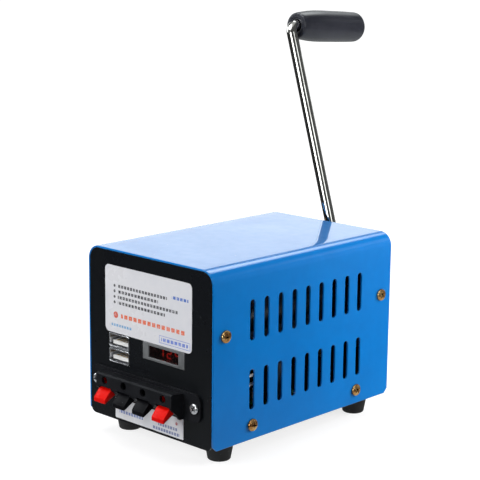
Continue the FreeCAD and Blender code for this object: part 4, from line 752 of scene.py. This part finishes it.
def screwGroup(name, seats, facing, length, spec, finish, replaced):
    # On a polar grid the crown is a flat arc over the radius. The recess is two crossed bars, deepest at the middle
    # and tapering to nothing at their ends; a washer-like rim, the underside and the shank close the shape
    seats = np.asarray(seats, float)
    facing = np.broadcast_to(np.asarray(facing, float), seats.shape)
    big, rim, shank = spec["headRadius"], spec["rim"], spec["shankRadius"]
    inner = spec["innerShare"] * big
    outer = np.linspace(inner, big, spec["outerRings"])[1:]
    radii = np.concatenate([np.linspace(0.0, inner, spec["innerRings"]), outer])
    angles = np.arange(spec["around"]) * 2 * math.pi / spec["around"]
    r, a = np.meshgrid(radii, angles, indexing="ij")
    crown = rim + (spec["headHeight"] - rim) * np.sqrt(np.clip(1 - (r / big) ** spec["crownPower"], 0.0, 1.0))
    x, y = abs(r * np.cos(a)), abs(r * np.sin(a))
    taper = 1 - spec["crossTaper"] * r / spec["crossLength"]
    wide = spec["crossWidth"] * taper
    bars = np.minimum(np.maximum(x - spec["crossLength"], y - wide), np.maximum(y - spec["crossLength"], x - wide))
    sunk = smoothStep(0.5 - bars / spec["crossWall"]) * np.clip(taper + spec["crossFade"], 0.0, 1.0)
    # radius and height of the rows below the crown: rim, underside, shank and tip
    tail = np.array([(big, rim * 0.5), (big - spec["underCut"], 0.0), (shank, 0.0), (shank, -length + spec["tip"]),
                     (shank - spec["tip"], -length), (0.0, -length)])
    height = np.concatenate([crown - sunk * spec["crossDepth"], np.repeat(tail[:, 1:], len(angles), 1)])
    rows, columns = height.shape
    rowRadius = np.concatenate([radii, tail[:, 0]])[:, None]
    turns = np.arange(len(seats)) * spec["nextTurn"] + spec["firstTurn"]
    spun = angles + turns[:, None, None]
    px, py = rowRadius * np.cos(spun), rowRadius * np.sin(spun)
    # painted shade: the cross recess, the rim and underside of the head and the shank are given a darker colour
    dark = np.concatenate([sunk, np.zeros((len(tail), columns))])
    dark[-4:] = spec["shankShade"]
    dark[len(radii):len(radii) + 2] = spec["rimShade"]
    helper = np.where(abs(facing[:, 2:]) > 0.5, (1.0, 0.0, 0.0), (0.0, 0.0, 1.0))
    side = np.cross(helper, facing)
    side /= np.linalg.norm(side, axis=1, keepdims=True)
    other = np.cross(facing, side)
    seats, side, other, facing = (value[:, None, None, :] for value in (seats, side, other, facing))
    placed = seats + px[..., None] * side + py[..., None] * other + height[..., None] * facing
    faces = []
    for screw in range(len(seats)):
        faces += gridFaces(rows, columns, screw * rows * columns)
    mesh = rawMesh(name, placed.reshape(-1, 3), faces)
    layer = mesh.attributes.new("paintedShade", "FLOAT", "POINT")
    layer.data.foreach_set("value", np.tile(dark.reshape(-1), len(seats)))
    shape = openShape(mesh, 2e-7)
    bmesh.ops.recalc_face_normals(shape, faces=shape.faces)
    closeShape(shape, mesh)
    dress(name, mesh, finish, "case", replaced, smoothAngle=40.0)


coverSeats = [(side * 44.0, y, z) for side in (-1, 1)
              for y, z in ((-59.5, 65.0), (56.5, 65.0), (-40.7, 17.4), (37.7, 17.4))]
coverFacing = [(math.copysign(1.0, x), 0.0, 0.0) for x, y, z in coverSeats]
screwGroup("coverScrews", coverSeats, coverFacing, 5.0, screwShape, "zincYellow", ("cover_screws",))
terminalScrew = {**screwShape, "headRadius": 2.6, "headHeight": 1.5, "crossLength": 1.7, "crossWidth": 0.4}
terminalSeats = [(-36.4, -68.7, 29.3), (33.0, -68.7, 29.3)]
screwGroup("terminalScrews", terminalSeats, (0.0, -1.0, 0.0), 5.4, terminalScrew, "nickelSilver",
           ("terminal_screws",))
print("screws made")


# Push levers: a rounded outline carried across the width

leverShape = {
    "pivotY": -72.1, "pivotZ": 27.4, "halfWidth": 4.3, "endRound": 0.5, "endSteps": 6, "middleSteps": 9,
    "outline": ((0, -1.6), (-1.7, 0.2), (-0.9, 2.0), (-0.6, 5.6), (1.0, 5.6), (1.5, 1.6), (4.2, 0.7), (7.4, -3.0),
                (7.7, -3.6), (7.7, -5.4), (7.1, -5.4), (2.6, -3.0)),
    "cuts": 3, "cutShare": 0.14,
    # the dip for the thumb: its depth, where it lies along the tab, and how high its upper face is
    "scoop": 0.45, "scoopFrom": 1.2, "scoopTo": 8.0, "scoopFade": 1.4, "scoopSlope": 1.15, "scoopLine": 2.2,
    "scoopRise": 0.8,
    "places": {"lever_red_left": -22.55, "lever_black_left": -8.65, "lever_black_right": 5.25,
               "lever_red_right": 19.15},
}


def cutCorners(outline, share):
    # Replaces each corner by two points, a share of the way along the edges that meet there
    after = np.roll(outline, -1, 0)
    return np.stack([outline * (1 - share) + after * share, outline * share + after * (1 - share)], 1).reshape(-1, 2)


def makeLever(node, x, spec, finish, slotName):
    outline = np.array(spec["outline"], float)
    for _ in range(spec["cuts"]):
        outline = cutCorners(outline, spec["cutShare"])
    edge = np.roll(outline, -1, 0) - np.roll(outline, 1, 0)
    inward = np.stack([-edge[:, 1], edge[:, 0]], -1) / np.maximum(np.linalg.norm(edge, axis=1, keepdims=True), 1e-9)
    after = np.roll(outline, -1, 0)
    inward *= np.sign(np.sum(outline[:, 0] * after[:, 1] - after[:, 0] * outline[:, 1]))
    wide, soft = spec["halfWidth"], spec["endRound"]
    bend = np.linspace(0.0, math.pi / 2, spec["endSteps"])
    ends = wide - soft * (1 - np.sin(bend))
    middle = np.linspace(soft - wide, wide - soft, spec["middleSteps"] + 2)[1:-1]
    stations = np.concatenate([-ends[::-1], middle, ends])[:, None]
    sink = soft * (1 - np.cos(bend))
    inset = np.concatenate([sink[::-1], np.zeros(len(middle)), sink])
    ring = outline[None] + inward[None] * inset[:, None, None]
    # the tab's upper face dips, most half-way out and in the middle of the width
    out, up = ring[..., 0], ring[..., 1]
    onTop = smoothStep((out - spec["scoopFrom"]) / spec["scoopFade"])
    onTop = onTop * smoothStep((spec["scoopTo"] - out) / spec["scoopFade"])
    onTop = onTop * smoothStep((up + spec["scoopSlope"] * out - spec["scoopLine"]) / spec["scoopRise"])
    up = up - spec["scoop"] * onTop * (1 - (stations / wide) ** 2)
    places = np.stack([np.broadcast_to(x + stations, out.shape), spec["pivotY"] - out, spec["pivotZ"] + up], -1)
    rows, columns = out.shape
    faces = gridFaces(rows, columns)
    faces += [list(range(columns)), list(range((rows - 1) * columns, rows * columns))[::-1]]
    name = node.replace("lever_", "pushLever_")
    meshPiece(name, places.reshape(-1, 3), faces, finish, node, (node,), slotName)


for leverName, leverX in leverShape["places"].items():
    leverLook = ("leverRed", "red_plastic") if "red" in leverName else ("leverBlack", "black_plastic")
    makeLever(leverName, leverX, leverShape, *leverLook)
print("levers made")


# USB socket: two folded steel mouths, one over the other, with a plain plate between them

usbShape = {
    "x": -21.3, "halfWidth": 7.45, "front": -67.9, "depth": 15.0, "wall": 0.62, "round": 1.1, "leastRound": 0.3,
    "lip": 0.28, "lipSteps": 7, "cornerSteps": 6, "mouths": ((39.6, 46.75), (47.45, 54.6)),
    "bridge": (46.35, 47.85), "bridgeInset": 0.5, "bridgeBack": 0.1, "bridgeEdge": 0.15,
}


def usbRing(spec, wide, low, high, inset, y, radius):
    # A rectangle whose corners are quarter circles, upright at y
    wide, tall = wide - inset, (high - low) / 2 - inset
    turn = np.linspace(0.0, math.pi / 2, spec["cornerSteps"])
    parts = []
    for quarter, (sx, sz) in enumerate(((1, 1), (-1, 1), (-1, -1), (1, -1))):
        angle = turn + quarter * math.pi / 2
        x = spec["x"] + (sx * (wide - radius) + radius * np.cos(angle))
        z = (high + low) / 2 + (sz * (tall - radius) + radius * np.sin(angle))
        parts.append(np.stack([x, np.full(len(turn), y), z], -1))
    return np.concatenate(parts)


def usbMouths(spec):
    # Each mouth is a rounded loop carried out along the wall, over a rolled front lip and back along the inside
    points, faces, total = [], [], 0
    back, wall = spec["front"] + spec["depth"], spec["wall"]
    roll = np.linspace(0.0, math.pi, spec["lipSteps"])
    rows = [(0.0, back)]
    rows += [(wall / 2 * (1 - np.cos(a)), spec["front"] + spec["lip"] * (1 - np.sin(a))) for a in roll]
    rows += [(wall, back)]
    for low, high in spec["mouths"]:
        for inset, y in rows:
            radius = max(spec["round"] - inset, spec["leastRound"])
            points.append(usbRing(spec, spec["halfWidth"], low, high, inset, y, radius))
        count = len(points[-1])
        faces += gridFaces(len(rows), count, total)
        inner, outer = total + (len(rows) - 1) * count, total
        here, after = np.arange(count), (np.arange(count) + 1) % count
        faces += np.stack([here + inner, after + inner, after + outer, here + outer], -1).tolist()
        total += len(rows) * count
    return np.concatenate(points), faces


def usbBridge(spec):
    # The plate between the mouths: a rounded loop carried back from a slightly smaller front face
    wide, front, edge = spec["halfWidth"] - spec["bridgeInset"], spec["front"] + spec["bridgeBack"], spec["bridgeEdge"]
    points = [usbRing(spec, wide, *spec["bridge"], inset, front + y, spec["leastRound"])
              for inset, y in ((edge, 0.0), (0.0, edge), (0.0, spec["depth"]))]
    count = len(points[0])
    faces = gridFaces(3, count) + [list(range(count)), list(range(2 * count, 3 * count))[::-1]]
    return np.concatenate(points), faces


meshPiece("usbMouths", *usbMouths(usbShape), "steelBright", "case", ("usb_shell",), "bright_steel")
meshPiece("usbBridge", *usbBridge(usbShape), "steelRolled", "case", (), "bright_steel")
bevelledCopy("usbTongues", "usb_insulator", 0.18, "whitePlastic")
bevelledCopy("meterBezel", "meter_case", 0.3, "bezelPlastic", 3)
bevelledCopy("terminalBlock", "terminal_body", 0.22, "blackPlastic")
bevelledCopy("chassisTray", "chassis_frame", 0.22, "panelPaint")
print("front fittings made")


# Grip: a turned handle with rounded shoulders

gripShape = {
    "start": (-43.7523, 85.3938, 199.3444), "axis": (0.0150393, 0.9986295, -0.0501286), "around": 96,
    # distance from the near end and radius of the turned outline's corners
    "outline": ((3.0, 0.0), (3.0, 3.15), (0.0, 3.15), (0.0, 6.7), (0.6, 7.3), (6.0, 8.05), (11.0, 8.6), (17.0, 8.88),
                (26.0, 8.86), (48.6, 8.7), (50.4, 8.2), (51.5, 7.1), (52.0, 5.3), (52.0, 0.0)),
    "cuts": 3, "cutShare": 0.25,
}


def makeGrip(spec):
    # The outline's corners are cut several times, and the soft line is then turned about the grip's axis
    outline = np.array(spec["outline"])
    for _ in range(spec["cuts"]):
        step = outline[1:] - outline[:-1]
        near, far = outline[:-1] + spec["cutShare"] * step, outline[:-1] + (1 - spec["cutShare"]) * step
        outline = np.concatenate([outline[:1], np.stack([near, far], 1).reshape(-1, 2), outline[-1:]])
    axis = np.array(spec["axis"])
    side = np.cross(axis, (0.0, 0.0, 1.0))
    side /= np.linalg.norm(side)
    up = np.cross(side, axis)
    angle = np.arange(spec["around"]) * 2 * math.pi / spec["around"]
    ring = np.cos(angle)[:, None] * side + np.sin(angle)[:, None] * up
    places = np.array(spec["start"]) + outline[:, None, :1] * axis + outline[:, None, 1:] * ring[None]
    faces = gridFaces(len(outline), spec["around"])
    meshPiece("turnedGrip", places.reshape(-1, 3), faces, "gripBlack", "grip", ("crank_grip",), "black_plastic")


makeGrip(gripShape)
print("grip made")


# Finishes of the solids that keep their own shape

solidFinishes = {
    "footRubber": "rubber_feet", "upperFilm": "upper_label", "lowerFilm": "lower_label", "meterGlass": "meter_window",
    "meterRed": "meter_digits", "boardGreen": "regulator_board", "zincYellow": "foot_screws gearbox_screws",
    "nickelSilver": "board_screws generator_screws", "capacitorSleeve": "board_capacitors",
    "steelBright": "small_nuts terminal_contacts terminal_springs gearbox_pillars crank_shaft layshaft rotor_shaft "
                   "hub_washer grip_retainer",
    "steelRolled": "gearbox_rear_plate gearbox_front_plate crank_gear layshaft_gear layshaft_pinion generator_can "
                   "rotor_core crank_hub",
    "brassPlain": "usb_contacts board_standoffs crank_bush_rear crank_bush_front layshaft_bushes rotor_pinion",
    "blackPlastic": "board_regulator board_rectifier generator_end_cap", "copperPlain": "rotor_commutator",
    "coilCopper": "board_inductor", "rotorCopper": "rotor_windings", "aluminiumDrawn": "board_heatsink",
    "ferriteGrey": "generator_magnets generator_brushes", "steelBlack": "hub_grub_screws", "armChrome": "crank_arm",
    "whitePlastic": "output_leads", "leadRed": "motor_leads",
}
for finishName, wearers in solidFinishes.items():
    for node in wearers.split():
        for slot in nodes[node].material_slots:
            slot.material = finishes[finishName]
print("solids finished:", sum(len(wearers.split()) for wearers in solidFinishes.values()))


# Studio: pale floor, a sky with soft glows, four soft panels

skySpec = {
    "strength": 0.4, "base": 0.06, "tint": (0.955, 1.0, 1.0, 1.0), "behind": 1.1,
    "ceiling": 0.5, "ceilingFrom": 0.8, "ceilingFull": 0.92, "horizonFrom": -0.06, "horizonFull": 0.05,
    # what gloss sees below the horizon: dark near it, a lit floor further down
    "belowStart": -0.28, "belowEnd": -0.46, "belowDark": 0.03, "belowLit": 0.6,
    # a dark flag at the right keeps the near part of that side deep
    "flagWay": (0.88, -0.46, 0.10), "flagStart": -0.1, "flagFull": 0.7, "flag": 0.97,
    # soft lights seen only in gloss: the way to each, the cosines where it starts and where it is full, its strength,
    # and the height where it ends
    "glows": (((-0.65, 0.73, 0.19), 0.60, 0.93, 1.4, 0.26), ((0.12, -0.987, 0.105), 0.972, 0.985, 6.0, 0.9),
              ((0.934, -0.181, 0.309), 0.985, 0.995, 2.2, 0.9), ((-0.25, 0.60, 0.76), 0.95, 0.99, 4.6, 2.0),
              ((-0.46, -0.584, 0.662), 0.955, 0.975, 10.0, 0.9), ((-0.15, -0.55, 0.81), 0.86, 0.92, 2.0, 2.0),
              ((-0.93, -0.30, 0.22), 0.95, 0.985, 3.0, 0.9), ((0.42, 0.80, 0.43), 0.985, 0.997, 0.5, 0.9),
              ((-0.40, 0.764, 0.50), 0.93, 0.99, 0.3, 0.9)),
    "glowFade": 0.08,
}


def makeSky(spec):
    world = bpy.data.worlds.new("softSky")
    scene.world = world
    world.use_nodes = True
    tree = world.node_tree
    tree.nodes.clear()
    way = put(tree, "TexCoord", {}).outputs["Generated"]
    up = put(tree, "SeparateXYZ", {0: way}).outputs[2]

    def toward(aim):
        # Cosine between the ray and the way to a place
        return measure(tree, "DOT_PRODUCT", way, tuple(Vector(aim).normalized()))

    glossy = spread(tree, up, spec["ceilingFrom"], spec["ceilingFull"], spec["base"], spec["ceiling"])
    for aim, start, full, strength, ends in spec["glows"]:
        glow = spread(tree, toward(aim), start, full, 0.0, strength)
        glow = times(tree, glow, spread(tree, up, ends, ends + spec["glowFade"], 1.0, 0.0))
        glossy = calc(tree, "ADD", glossy, glow)
    glossy = times(tree, glossy, spread(tree, up, spec["horizonFrom"], spec["horizonFull"]))
    below = spread(tree, up, spec["belowEnd"], spec["belowStart"], spec["belowLit"], spec["belowDark"])
    glossy = calc(tree, "ADD", glossy, below)
    flagged = spec["strength"] * (1 - spec["flag"])
    sky = spread(tree, toward(spec["flagWay"]), spec["flagStart"], spec["flagFull"], spec["strength"], flagged)
    path = put(tree, "LightPath", {}).outputs
    light = mixNumber(tree, path["Is Glossy Ray"], sky, glossy)
    light = mixNumber(tree, path["Is Camera Ray"], light, spec["behind"])
    back = put(tree, "Background", {"Color": spec["tint"], "Strength": light})
    put(tree, "OutputWorld", {"Surface": back.outputs[0]})


floorSpec = {
    "pale": (160, 160, 162), "deep": (158, 158, 160), "cells": 3.0, "reach": 6.0,
    # seen by the camera the floor is lifted, and goes to plain white away from the object
    "lift": 0.78, "whiteFrom": 0.13, "whiteFull": 0.5,
}


def makeFloor(spec):
    mesh = bpy.data.meshes.new("floorSheet")
    corners = [(x * spec["reach"], y * spec["reach"], 0) for x, y in ((-1, -1), (1, -1), (1, 1), (-1, 1))]
    mesh.from_pydata(corners, [], [(0, 1, 2, 3)])
    tree, shader, point = startFinish("floorWhite", Roughness=0.9, Specular_IOR_Level=0.0)
    base = mixColor(tree, noise(tree, point, spec["cells"]), spec["pale"], spec["deep"])
    wire(tree, shader, {"Base Color": base})
    away = spread(tree, measure(tree, "LENGTH", point), spec["whiteFrom"], spec["whiteFull"])
    seen = put(tree, "LightPath", {}).outputs["Is Camera Ray"]
    strength = times(tree, seen, spread(tree, away, 0.0, 1.0, spec["lift"], 1.0))
    glow = put(tree, "Emission", {"Color": (1.0, 1.0, 1.0, 1.0), "Strength": strength})
    shaded = put(tree, "AddShader", {0: shader.outputs[0], 1: glow.outputs[0]})
    wire(tree, tree.nodes["Material Output"], {"Surface": shaded.outputs[0]})
    mesh.materials.append(finishes["floorWhite"])
    floor = addObject("floorSheet", mesh)
    floor.visible_glossy = False


# place, aim, size and watts of each soft panel
softPanels = {
    "topPanel": ((-0.3, -0.1, 1.3), (0.0, 0.0, 0.05), (1.2, 1.2), 10.5),
    "rightRearPanel": ((0.26, 0.30, 0.14), (0.044, 0.10, 0.04), (0.2, 0.3), 2.0),
    "rightPanel": ((0.75, -0.55, 0.25), (0.0, 0.0, 0.05), (0.3, 0.3), 1.0),
    "frontPanel": ((-0.5, -1.0, 0.5), (0.0, -0.07, 0.06), (0.7, 0.7), 10.0),
}


def softPanel(name, place, aim, size, watts):
    data = bpy.data.lights.new(name, "AREA")
    data.shape = "RECTANGLE"
    data.size, data.size_y = size
    data.energy = watts
    lamp = addObject(name, data)
    turn = (Vector(aim) - Vector(place)).to_track_quat("-Z", "Y").to_matrix().to_4x4()
    lamp.matrix_world = Matrix.Translation(place) @ turn
    lamp.visible_glossy = False


makeSky(skySpec)
makeFloor(floorSpec)
for panelName, panel in softPanels.items():
    softPanel(panelName, *panel)
scene.view_settings.view_transform = "Standard"
print("studio lit")
